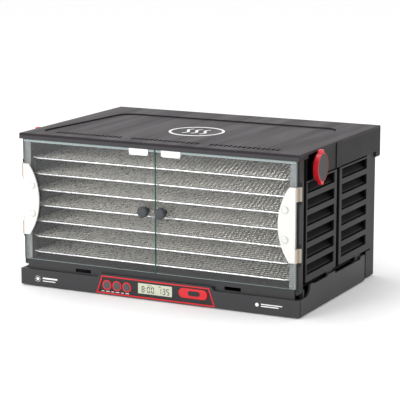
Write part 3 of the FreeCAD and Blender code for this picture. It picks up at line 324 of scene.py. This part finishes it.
def paint_crimp_light_and_wear(material):
    """Painted highlight where a woven wire is up, painted shade where it dips, with uneven wear."""
    tree = material.node_tree
    crimp = add_node(tree, "ShaderNodeAttribute", {"attribute_name": "crimp"})
    weave = add_node(tree, "ShaderNodeMapping", Vector=object_place(tree), Scale=(560, 150, 40))
    rub = add_node(tree, "ShaderNodeTexNoise", Vector=weave.outputs["Vector"], Scale=1.0, Detail=1.0)
    worn = add_node(tree, "ShaderNodeMapRange", Value=rub.outputs["Fac"], From_Min=0.3, From_Max=0.7,
                    To_Min=-wear, To_Max=wear)
    # Painted light from the crimp: a wire is lighter where it is up and darker where it dips.
    height = add_math(tree, "MULTIPLY_ADD", crimp.outputs["Fac"], crimp_share)
    height.node.inputs[2].default_value = mean_shine
    ramp = add_node(tree, "ShaderNodeValToRGB", Fac=add_math(tree, "ADD", height, worn.outputs["Result"]))
    ramp.color_ramp.elements[0].color = (0.13, 0.12, 0.11, 1)
    ramp.color_ramp.elements[0].position = 0.22
    ramp.color_ramp.elements[1].color = (1.0, 0.955, 0.90, 1)
    ramp.color_ramp.elements[1].position = 0.62
    tree.links.new(ramp.outputs["Color"], tree.nodes["Principled BSDF"].inputs["Base Color"])


paint_crimp_light_and_wear(wire_steel)
print("metal finishes ready")

# %% [markdown]
# ## Hinge plates with warm-lit tabs
# Each door hangs on a white half-moon plate whose two tabs wrap round the post. The tabs face sideways
# into warm light, and their beige is painted light. The plate is one moulded piece, so instead of cutting
# it in two, the finish blends to beige by how far a point is from the middle of the cabinet.

# %% Hinge plate finish
plate_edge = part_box("door_glass_right")[1][0] + 0.4 * MM
tab_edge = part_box("hinge_plate_right")[1][0]
hinge_plastic = make_plastic("hinge_plastic", (0.70, 0.70, 0.67), 0.42, grain=0.12, mottle=0.03)
# Painted warm light: the side tabs blend to beige.
blend_by_place(hinge_plastic, "X", plate_edge, plate_edge + 0.3 * MM, (0.42, 0.36, 0.30), 0.5)
print("beige starts", round(plate_edge / MM, 1), "mm out and ends at", round(tab_edge / MM, 1))

# %% [markdown]
# ## Finishing pieces
# A finished piece sits at the origin with its place in its mesh, as the CAD nodes do. This helper links a
# mesh as a piece, makes it ride on a body, and hides the CAD nodes it stands for.

# %% Piece helpers
def finish_piece(name, mesh, body, materials, replaced=()):
    """Links a mesh as a piece of the dehydrator."""
    choice = [face.material_index for face in mesh.polygons]
    mesh.materials.clear()
    for material in materials:
        mesh.materials.append(material)
    if len(materials) > 1:
        mesh.polygons.foreach_set("material_index", choice)
    piece = bpy.data.objects.new(name, mesh)
    bpy.context.scene.collection.objects.link(piece)
    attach(piece, body)
    if replaced:
        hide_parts(*replaced)
    return piece


def grow_mesh(name, tree, sizes):
    """Runs a geometry tree with the given sizes, and returns the result as a plain mesh."""
    holder = bpy.data.objects.new(name, bpy.data.meshes.new(name))
    bpy.context.scene.collection.objects.link(holder)
    modifier = holder.modifiers.new(name, "NODES")
    modifier.node_group = tree
    for item in tree.interface.items_tree:
        if item.item_type == "SOCKET" and item.in_out == "INPUT" and item.name in sizes:
            modifier[item.identifier] = sizes[item.name]
    graph = bpy.context.evaluated_depsgraph_get()
    mesh = bpy.data.meshes.new_from_object(holder.evaluated_get(graph))
    holder.modifiers.remove(modifier)
    bpy.data.objects.remove(holder)
    return mesh


def start_tree(name, sizes):
    """A new geometry tree with named inputs, its input node and its output node."""
    tree = bpy.data.node_groups.new(name, "GeometryNodeTree")
    tree.interface.new_socket("Geometry", in_out="OUTPUT", socket_type="NodeSocketGeometry")
    for label, kind in sizes:
        tree.interface.new_socket(label, in_out="INPUT", socket_type=kind)
    return tree, tree.nodes.new("NodeGroupInput"), tree.nodes.new("NodeGroupOutput")


def end_tree(tree, output, geometry, material):
    """Ends a tree in Realize Instances and Set Material."""
    real = add_node(tree, "GeometryNodeRealizeInstances", Geometry=geometry)
    dressed = add_node(tree, "GeometryNodeSetMaterial", Geometry=real.outputs["Geometry"], Material=material)
    tree.links.new(dressed.outputs["Geometry"], output.inputs["Geometry"])


def move_mesh(mesh, x, y, z):
    """Puts a mesh in its place."""
    mesh.transform(Matrix.Translation((x, y, z)))
    return mesh


print("piece helpers ready")

# %% [markdown]
# ## Woven racks
# A rack is a tray of woven steel wire in a bent rod frame. Weaving means that each wire goes over one
# neighbour and under the next. A modelled strand for each wire by hand would take days, and a picture of
# a mesh would be flat, so Geometry Nodes weave it: a grid gives the crossings, the edges of one direction
# are kept, the crossings go up and down in turn, and the lines become wires. The other direction is woven
# with the opposite sign. The wires are few-sided, because there are thousands of crossings. Each point
# also notes whether it is up or down, so that the wire's finish can carry a painted highlight on top and
# painted shade below.

# %% Weave tree
def make_weave_tree():
    """A woven wire sheet in the middle of the origin."""
    tree, given, output = start_tree("wire_weave", [
        ("Width", "NodeSocketFloat"), ("Depth", "NodeSocketFloat"), ("Columns", "NodeSocketInt"),
        ("Rows", "NodeSocketInt"), ("Wire Radius", "NodeSocketFloat"), ("Wave", "NodeSocketFloat")])
    grid = add_node(tree, "GeometryNodeMeshGrid", Size_X=given.outputs["Width"],
                    Size_Y=given.outputs["Depth"], Vertices_X=given.outputs["Columns"],
                    Vertices_Y=given.outputs["Rows"])
    index = add_node(tree, "GeometryNodeInputIndex").outputs[0]
    column = add_math(tree, "FLOOR", add_math(tree, "DIVIDE", index, given.outputs["Rows"]))
    row = add_math(tree, "MODULO", index, given.outputs["Rows"])
    odd = add_math(tree, "MODULO", add_math(tree, "ADD", column, row), 2.0)
    sign = add_math(tree, "SUBTRACT", 1.0, add_math(tree, "MULTIPLY", odd, 2.0))
    ends = add_node(tree, "GeometryNodeInputMeshEdgeVertices")
    run = add_node(tree, "ShaderNodeVectorMath", {"operation": "SUBTRACT"})
    tree.links.new(ends.outputs["Position 1"], run.inputs[0])
    tree.links.new(ends.outputs["Position 2"], run.inputs[1])
    across = add_node(tree, "ShaderNodeSeparateXYZ", Vector=run.outputs["Vector"])
    is_cross = add_math(tree, "GREATER_THAN", add_math(tree, "ABSOLUTE", across.outputs["X"]), 0.0001)
    is_long = add_math(tree, "LESS_THAN", add_math(tree, "ABSOLUTE", across.outputs["X"]), 0.0001)
    ring = add_node(tree, "GeometryNodeCurvePrimitiveCircle", Resolution=4,
                    Radius=given.outputs["Wire Radius"])
    join = add_node(tree, "GeometryNodeJoinGeometry")
    for drop, side in ((is_cross, 1.0), (is_long, -1.0)):
        lift = add_math(tree, "MULTIPLY", add_math(tree, "MULTIPLY", sign, given.outputs["Wave"]), side)
        offset = add_node(tree, "ShaderNodeCombineXYZ", Z=lift)
        noted = add_node(tree, "GeometryNodeStoreNamedAttribute", {"data_type": "FLOAT", "domain": "POINT"},
                         Geometry=grid.outputs["Mesh"], Name="crimp",
                         Value=add_math(tree, "MULTIPLY", sign, side))
        waved = add_node(tree, "GeometryNodeSetPosition", Geometry=noted.outputs["Geometry"],
                         Offset=offset.outputs["Vector"])
        lines = add_node(tree, "GeometryNodeDeleteGeometry", {"domain": "EDGE", "mode": "EDGE_FACE"},
                         Geometry=waved.outputs["Geometry"], Selection=drop)
        curves = add_node(tree, "GeometryNodeMeshToCurve", Mesh=lines.outputs["Geometry"])
        wires = add_node(tree, "GeometryNodeCurveToMesh", Curve=curves.outputs["Curve"],
                         Profile_Curve=ring.outputs["Curve"], Fill_Caps=True)
        tree.links.new(wires.outputs["Mesh"], join.inputs["Geometry"])
    end_tree(tree, output, join.outputs["Geometry"], wire_steel)
    return tree


weave_tree = make_weave_tree()
print("weave tree nodes", len(weave_tree.nodes))

# %% [markdown]
# ## Rack frames
# The frame is one rod bent round four corners, with two thinner rods welded under the weave. A rounded
# rectangle swept with a round profile is exactly how the real rod runs.

# %% Rack frame tree
def make_rod_frame_tree():
    """A bent rod loop with stiffening rods under it, round the origin."""
    tree, given, output = start_tree("rod_frame", [
        ("Width", "NodeSocketFloat"), ("Depth", "NodeSocketFloat"), ("Corner", "NodeSocketFloat"),
        ("Rod Radius", "NodeSocketFloat"), ("Stay Spacing", "NodeSocketFloat")])
    loop = add_node(tree, "GeometryNodeCurvePrimitiveQuadrilateral", Width=given.outputs["Width"],
                    Height=given.outputs["Depth"])
    bent = add_node(tree, "GeometryNodeFilletCurve", {"mode": "POLY"}, Curve=loop.outputs["Curve"], Count=6,
                    Radius=given.outputs["Corner"])
    profile = add_node(tree, "GeometryNodeCurvePrimitiveCircle", Resolution=10,
                       Radius=given.outputs["Rod Radius"])
    rim = add_node(tree, "GeometryNodeCurveToMesh", Curve=bent.outputs["Curve"],
                   Profile_Curve=profile.outputs["Curve"])
    half = add_math(tree, "MULTIPLY", given.outputs["Depth"], 0.5)
    start = add_node(tree, "ShaderNodeCombineXYZ", Y=add_math(tree, "MULTIPLY", half, -1.0))
    end = add_node(tree, "ShaderNodeCombineXYZ", Y=half)
    line = add_node(tree, "GeometryNodeCurvePrimitiveLine", Start=start.outputs["Vector"],
                    End=end.outputs["Vector"])
    thin = add_node(tree, "GeometryNodeCurvePrimitiveCircle", Resolution=8,
                    Radius=add_math(tree, "MULTIPLY", given.outputs["Rod Radius"], 0.55))
    stay = add_node(tree, "GeometryNodeCurveToMesh", Curve=line.outputs["Curve"],
                    Profile_Curve=thin.outputs["Curve"], Fill_Caps=True)
    step = add_node(tree, "ShaderNodeCombineXYZ", X=given.outputs["Stay Spacing"])
    first = add_node(tree, "ShaderNodeCombineXYZ",
                     X=add_math(tree, "MULTIPLY", given.outputs["Stay Spacing"], -0.5),
                     Z=add_math(tree, "MULTIPLY", given.outputs["Rod Radius"], -0.4))
    spots = add_node(tree, "GeometryNodeMeshLine", Count=2, Start_Location=first.outputs["Vector"],
                     Offset=step.outputs["Vector"])
    stays = add_node(tree, "GeometryNodeInstanceOnPoints", Points=spots.outputs["Mesh"],
                     Instance=stay.outputs["Mesh"])
    join = add_node(tree, "GeometryNodeJoinGeometry")
    tree.links.new(rim.outputs["Mesh"], join.inputs["Geometry"])
    tree.links.new(stays.outputs["Instances"], join.inputs["Geometry"])
    end_tree(tree, output, join.outputs["Geometry"], rod_steel)
    return tree


rod_frame_tree = make_rod_frame_tree()
print("rod frame tree nodes", len(rod_frame_tree.nodes))

# %% [markdown]
# ## Seven racks
# All racks are the same, so one weave and one frame are grown and copied. Each copy rides on its own rack
# body, because each rack slides by itself.

# %% Racks
wire_pitch_across = 3.6 * MM
wire_pitch_deep = 11.0 * MM
wire_radius = 0.68 * MM
wire_wave = 0.45 * MM
rod_radius = 1.5 * MM
weave_drop = 0.9 * MM
rack_count = len([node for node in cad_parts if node.startswith("rack_") and node[5:].isdigit()])

rack_low, rack_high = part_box("rack_1")
rack_width = rack_high[0] - rack_low[0]
rack_depth = rack_high[1] - rack_low[1]
weave_width = rack_width - 2 * rod_radius
weave_depth = rack_depth - 2 * rod_radius
weave_mesh = grow_mesh("rack_weave", weave_tree, {
    "Width": weave_width, "Depth": weave_depth, "Columns": int(weave_width / wire_pitch_across),
    "Rows": int(weave_depth / wire_pitch_deep), "Wire Radius": wire_radius, "Wave": wire_wave})
frame_mesh = grow_mesh("rack_frame", rod_frame_tree, {
    "Width": rack_width - 2 * rod_radius, "Depth": rack_depth - 2 * rod_radius, "Corner": 9 * MM,
    "Rod Radius": rod_radius, "Stay Spacing": rack_width / 3})
print("weave faces", len(weave_mesh.polygons), "frame faces", len(frame_mesh.polygons))

for level in range(1, rack_count + 1):
    low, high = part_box("rack_%d" % level)
    middle = [(low[axis] + high[axis]) / 2 for axis in range(3)]
    body = "rack_%d" % level
    rim = move_mesh(frame_mesh.copy(), *middle)
    weave = move_mesh(weave_mesh.copy(), middle[0], middle[1], high[2] - weave_drop)
    finish_piece("rack_%d_rods" % level, rim, body, [rod_steel], ["rack_%d" % level])
    finish_piece("rack_%d_weave" % level, weave, body, [wire_steel])

# %% [markdown]
# ## Glass doors
# Float glass is clear from the front and sea-green along its polished edges, because light there travels
# through much more glass. Real green would need long paths inside the pane, which are noisy, so the edge
# faces get their own green glass, with a faint painted glow that stands in for the light the pane pipes
# to its edges. The pane is one sheet with small polished bevels.

# %% Glass finishes
def make_glass(name, colour, roughness, ior=1.5):
    """Clear glass with a tint."""
    material, shader = new_material(name)
    shader.inputs["Base Color"].default_value = (*colour, 1)
    shader.inputs["Roughness"].default_value = roughness
    shader.inputs["IOR"].default_value = ior
    shader.inputs["Transmission Weight"].default_value = 1.0
    return material


def make_edge_glass(name, dark, bright, glow):
    """The polished edge of a pane, sea-green and slightly cloudy, with a painted glow."""
    material, shader = new_material(name)
    tree = material.node_tree
    noise = add_node(tree, "ShaderNodeTexNoise", Vector=object_place(tree), Scale=260.0, Detail=2.0)
    ramp = add_node(tree, "ShaderNodeValToRGB", Fac=noise.outputs["Fac"])
    ramp.color_ramp.elements[0].color = (*dark, 1)
    ramp.color_ramp.elements[1].color = (*bright, 1)
    tree.links.new(ramp.outputs["Color"], shader.inputs["Base Color"])
    tree.links.new(ramp.outputs["Color"], shader.inputs["Emission Color"])
    shader.inputs["Emission Strength"].default_value = glow
    shader.inputs["Roughness"].default_value = 0.2
    return material


pane_glass = make_glass("pane_glass", (0.97, 0.985, 0.98), 0.0, ior=1.4)
# Both edge glasses glow a little through emission: a painted glow.
deep_edge = make_edge_glass("deep_edge_glass", (0.014, 0.11, 0.092), (0.035, 0.17, 0.145), 0.45)
pale_edge = make_edge_glass("pale_edge_glass", (0.20, 0.25, 0.25), (0.29, 0.34, 0.34), 0.12)
bevel_size = 0.7 * MM
band_height = 4.0 * MM


def make_pane(low, high, toward_middle):
    """A pane with polished bevels. Its edges and a band under its top get the pale edge glass with its
    painted glow, and the edge at the middle of the cabinet is deep green."""
    build = bmesh.new()
    size = [high[axis] - low[axis] for axis in range(3)]
    middle = [(high[axis] + low[axis]) / 2 for axis in range(3)]
    bmesh.ops.create_cube(build, size=1.0, matrix=Matrix.Translation(middle) @ Matrix.Diagonal((*size, 1)))
    bmesh.ops.bevel(build, geom=build.edges[:], offset=bevel_size, segments=2, affect="EDGES", profile=0.5)
    band_start = high[2] - band_height
    bmesh.ops.bisect_plane(build, geom=build.verts[:] + build.edges[:] + build.faces[:],
                           plane_co=(0, 0, band_start), plane_no=(0, 0, 1))
    meeting = high[0] if toward_middle > 0 else low[0]
    for face in build.faces:
        at_meeting = abs(face.calc_center_median().x - meeting) < 2 * MM
        in_band = face.calc_center_median().z > band_start
        is_clear = abs(face.normal.y) > 0.99 and not in_band
        is_bevel = at_meeting and abs(face.normal.x) < 0.95
        face.material_index = 0 if is_clear or is_bevel else (1 if at_meeting else 2)
    bmesh.ops.recalc_face_normals(build, faces=build.faces[:])
    mesh = bpy.data.meshes.new("glass_pane")
    build.to_mesh(mesh)
    build.free()
    return mesh


for side in ("left", "right"):
    node = "door_glass_" + side
    pane = make_pane(*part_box(node), 1 if side == "left" else -1)
    finish_piece("pane_" + side, pane, "door_" + side, [pane_glass, deep_edge, pale_edge],
                 [node])
    print(node, "pane faces", len(pane.polygons))

# %% [markdown]
# ## Display
# A liquid-crystal display is a pale green-grey window with dark digits. The digits are the seven-bar kind:
# each is a choice of bars out of seven, so a table of which bars each digit lights, and one function that
# draws a bar, is enough for any number.

# %% Display
display_pale, display_shader = new_material("display_pale")
display_tree = display_pale.node_tree
display_cloud = add_node(display_tree, "ShaderNodeTexNoise", Vector=object_place(display_tree), Scale=60.0)
display_ramp = add_node(display_tree, "ShaderNodeValToRGB", Fac=display_cloud.outputs["Fac"])
display_ramp.color_ramp.elements[0].color = (0.50, 0.52, 0.40, 1)
display_ramp.color_ramp.elements[1].color = (0.60, 0.62, 0.49, 1)
display_tree.links.new(display_ramp.outputs["Color"], display_shader.inputs["Base Color"])
display_shader.inputs["Roughness"].default_value = 0.25
digit_ink = make_plastic("digit_ink", (0.022, 0.026, 0.022), 0.6, grain=0.0)

LIT_BARS = {"0": "abcdef", "1": "bc", "3": "abcdg", "5": "acdfg", "8": "abcdefg"}


def bar_corners(bar, width, height, thick):
    """The low and high corner of one bar of a digit."""
    half = height / 2
    flat = {"a": height - thick, "g": half - thick / 2, "d": 0.0}
    upright = {"f": (0.0, half), "b": (width - thick, half), "e": (0.0, 0.0), "c": (width - thick, 0.0)}
    if bar in flat:
        return (thick * 0.6, flat[bar]), (width - thick * 0.6, flat[bar] + thick)
    x, z = upright[bar]
    return (x, z + thick * 0.6), (x + thick, z + half - thick * 0.6)


def add_slab(build, low, high, y_front, y_back):
    """A small flat block in front of the display."""
    size = (high[0] - low[0], y_back - y_front, high[1] - low[1])
    middle = ((high[0] + low[0]) / 2, (y_back + y_front) / 2, (high[1] + low[1]) / 2)
    bmesh.ops.create_cube(build, size=1.0, matrix=Matrix.Translation(middle) @ Matrix.Diagonal((*size, 1)))


def draw_digits(build, text, x, z, width, height, thick, y_front, y_back):
    """Draws a number from left to right. A colon is two dots."""
    for sign in text:
        if sign == ":":
            for rise in (0.28, 0.62):
                dot = (x, z + height * rise)
                add_slab(build, dot, (dot[0] + thick, dot[1] + thick), y_front, y_back)
            x += 2.4 * thick
            continue
        for bar in LIT_BARS[sign]:
            low, high = bar_corners(bar, width, height, thick)
            add_slab(build, (x + low[0], z + low[1]), (x + high[0], z + high[1]), y_front, y_back)
        x += width + 1.6 * thick


screen_low, screen_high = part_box("screen_window")
digit_front = screen_low[1] - 0.12 * MM
digits = bmesh.new()
digit_height = 10.2 * MM
digit_width = 5.2 * MM
digit_bar = 1.25 * MM
for text, start in (("8:00", 6.5), ("135", 37)):
    draw_digits(digits, text, screen_low[0] + start * MM, screen_low[2] + 2.2 * MM, digit_width, digit_height,
                digit_bar, digit_front, screen_low[1])
for start, end, low_drop, high_drop in ((38, 41, 3.4, 2.0), (18, 25, 2.9, 2.2)):
    add_slab(digits, (screen_low[0] + start * MM, screen_high[2] - low_drop * MM),
             (screen_low[0] + end * MM, screen_high[2] - high_drop * MM), digit_front, screen_low[1])
digit_mesh = bpy.data.meshes.new("display_digits")
digits.to_mesh(digit_mesh)
digits.free()
finish_piece("display_digits", digit_mesh, "root", [digit_ink])
print("digit faces", len(digit_mesh.polygons))

# %% [markdown]
# ## Printed marks
# The fascia carries small white prints. Here they are plain pictograms: a sun for drying and a strip of
# short dashes under the buttons. They are thin raised prints, a tenth of a millimetre thick.

# %% Printed marks
print_thick = 0.12 * MM
fascia_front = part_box("front_fascia")[0][1]
panel_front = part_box("control_panel")[0][1]


def add_disc(build, x, z, radius, y_front, sides=24):
    """A thin round print that faces the front."""
    turn = Matrix.Rotation(math.radians(90), 4, "X")
    place = Matrix.Translation((x, y_front + print_thick / 2, z)) @ turn
    bmesh.ops.create_cone(build, cap_ends=True, segments=sides, radius1=radius, radius2=radius,
                          depth=print_thick, matrix=place)


def add_dash(build, x, z, length, height, y_front, lean=0.0):
    """A thin straight print, turned by an angle."""
    place = Matrix.Translation((x, y_front + print_thick / 2, z)) @ Matrix.Rotation(lean, 4, "Y")
    bmesh.ops.create_cube(build, size=1.0, matrix=place @ Matrix.Diagonal((length, print_thick, height, 1)))


marks = bmesh.new()
fascia_print = fascia_front - print_thick
sun_x = -219 * MM
sun_z = 13.5 * MM
ray_reach = 4.6 * MM
add_disc(marks, sun_x, sun_z, 2.6 * MM, fascia_print)
for ray in range(8):
    angle = ray * math.pi / 4
    add_dash(marks, sun_x + ray_reach * math.cos(angle), sun_z + ray_reach * math.sin(angle), 2.2 * MM,
             0.8 * MM, fascia_print, -angle)
sun_dash_start = -209.5 * MM
for row, (length, height) in enumerate(((28, 2.6), (24, 1.4))):
    add_dash(marks, sun_dash_start + length / 2 * MM, sun_z + (1.8 - 4.6 * row) * MM, length * MM,
             height * MM, fascia_print)
dot_x = 180 * MM
dot_dash_start = 187 * MM
add_disc(marks, dot_x, 15.5 * MM, 3.0 * MM, fascia_print)
for row, length in enumerate((36, 30)):
    add_dash(marks, dot_dash_start + length / 2 * MM, (17.0 - row * 3.2) * MM, length * MM, 1.5 * MM,
             fascia_print)
label_start = -95.5 * MM
label_step = 9.0 * MM
label_z = 6.6 * MM
for index in range(6):
    add_dash(marks, label_start + index * label_step, label_z, (6.6 if index % 2 else 5.2) * MM, 1.0 * MM,
             panel_front - print_thick)
marks_mesh = bpy.data.meshes.new("printed_marks")
bmesh.ops.recalc_face_normals(marks, faces=marks.faces[:])
marks.to_mesh(marks_mesh)
marks.free()
finish_piece("printed_marks", marks_mesh, "root", [white_print])
print("print faces", len(marks_mesh.polygons))

# %% [markdown]
# ## Lid emblem
# A ring with three rising waves stands for warm air. The CAD has it in plain arcs. Here the same sign is
# swept along smooth curves with a flat profile, a little thicker in the middle of each wave, as a brush
# would draw it.

# %% Lid emblem
def sweep_flat(build, points, widths, z_low, z_high, closed=False):
    """A flat band along a path of (x, y) points, as a closed solid."""
    rings = []
    last = len(points) - 1
    for index, (x, y) in enumerate(points):
        before = points[index - 1 if closed else max(index - 1, 0)]
        after = points[(index + 1) % len(points) if closed else min(index + 1, last)]
        along = Vector((after[0] - before[0], after[1] - before[1])).normalized()
        side = Vector((-along.y, along.x)) * widths[index] / 2
        rings.append([build.verts.new((x + side.x, y + side.y, z)) for z in (z_low, z_high)]
                     + [build.verts.new((x - side.x, y - side.y, z)) for z in (z_high, z_low)])
    if closed:
        rings.append(rings[0])
    for first, second in zip(rings, rings[1:]):
        for corner in range(4):
            follow = (corner + 1) % 4
            build.faces.new((first[corner], first[follow], second[follow], second[corner]))
    if not closed:
        build.faces.new(rings[0][::-1])
        build.faces.new(rings[-1])


emblem_low, emblem_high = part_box("lid_emblem")
emblem_middle = ((emblem_low[0] + emblem_high[0]) / 2, (emblem_low[1] + emblem_high[1]) / 2)
emblem_outer = (emblem_high[0] - emblem_low[0]) / 2
ring_width = 4.0 * MM
emblem = bmesh.new()
ring_steps = 96
ring_radius = emblem_outer - ring_width / 2 - 0.05 * MM
ring_angles = [2 * math.pi * step / ring_steps for step in range(ring_steps)]
ring_points = [(emblem_middle[0] + ring_radius * math.cos(angle),
                emblem_middle[1] + ring_radius * math.sin(angle)) for angle in ring_angles]
sweep_flat(emblem, ring_points, [ring_width] * ring_steps, emblem_low[2], emblem_high[2], closed=True)
wave_steps = 28
wave_spacing = 15.5 * MM
wave_length = 44 * MM
wave_swing = 4.6 * MM
for offset in (-wave_spacing, 0.0, wave_spacing):
    wave_points = []
    wave_widths = []
    for step in range(wave_steps + 1):
        share = step / wave_steps
        wave_points.append((emblem_middle[0] + offset + wave_swing * math.sin(2 * math.pi * share),
                            emblem_middle[1] + (share - 0.5) * wave_length))
        wave_widths.append((1.8 + 2.6 * math.sin(math.pi * share)) * MM)
    sweep_flat(emblem, wave_points, wave_widths, emblem_low[2], emblem_high[2])
bmesh.ops.recalc_face_normals(emblem, faces=emblem.faces[:])
emblem_mesh = bpy.data.meshes.new("lid_emblem_sign")
emblem.to_mesh(emblem_mesh)
emblem.free()
finish_piece("lid_emblem_sign", emblem_mesh, "lid", [white_print], ["lid_emblem"])
print("emblem faces", len(emblem_mesh.polygons))

# %% [markdown]
# ## Dressing the CAD nodes
# Most of the cabinet keeps its CAD shape and only needs a finish. A table from the start of a node's name
# to its finish covers them, and the first match wins.

# %% Finishes of the CAD nodes
FINISHES = [
    ("lid_top", charcoal_lid), ("lid_rim", charcoal_rim), ("latch_catches", charcoal_rim),
    ("lid_hinge_pins", pin_steel),
    ("side_wall", charcoal_wall), ("front_post", post_plastic), ("rack_rails", charcoal_side),
    ("base_tray", charcoal), ("base_feet", rubber), ("front_fascia", charcoal), ("door_sill", charcoal),
    ("chamber_floor", charcoal_side), ("rear_housing", housing_plastic), ("rear_cover", charcoal_side),
    ("control_bezel", red_satin), ("control_panel", black_gloss), ("button_rings", red_satin),
    ("left_button", button_grey), ("middle_button", button_grey), ("right_button", button_grey),
    ("power_button_inlay", black_gloss), ("power_button", red_satin), ("screen_window", display_pale),
    ("screen_module", inner_black), ("control_board", inner_black), ("hinge_pins", black_steel),
    ("cover_screws", screw_steel), ("air_baffle", zinc_sheet),
    ("fan_", inner_black), ("heater_element", pin_steel), ("mains_inlet", inner_black),
    ("door_magnets", inner_black), ("hinge_plate", hinge_plastic), ("hinge_screws", screw_nickel),
    ("door_knob", slate), ("strike_plate", white_satin), ("latch_knob", red_satin), ("latch_cap", charcoal),
]


def finish_for(name):
    """The first finish whose prefix fits a node's name."""
    for prefix, material in FINISHES:
        if name.startswith(prefix):
            return material
    return None


for name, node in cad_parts.items():
    finish = finish_for(name)
    if finish is None:
        continue
    node.data.materials.clear()
    node.data.materials.append(finish)
print("dressed", len(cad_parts), "nodes")
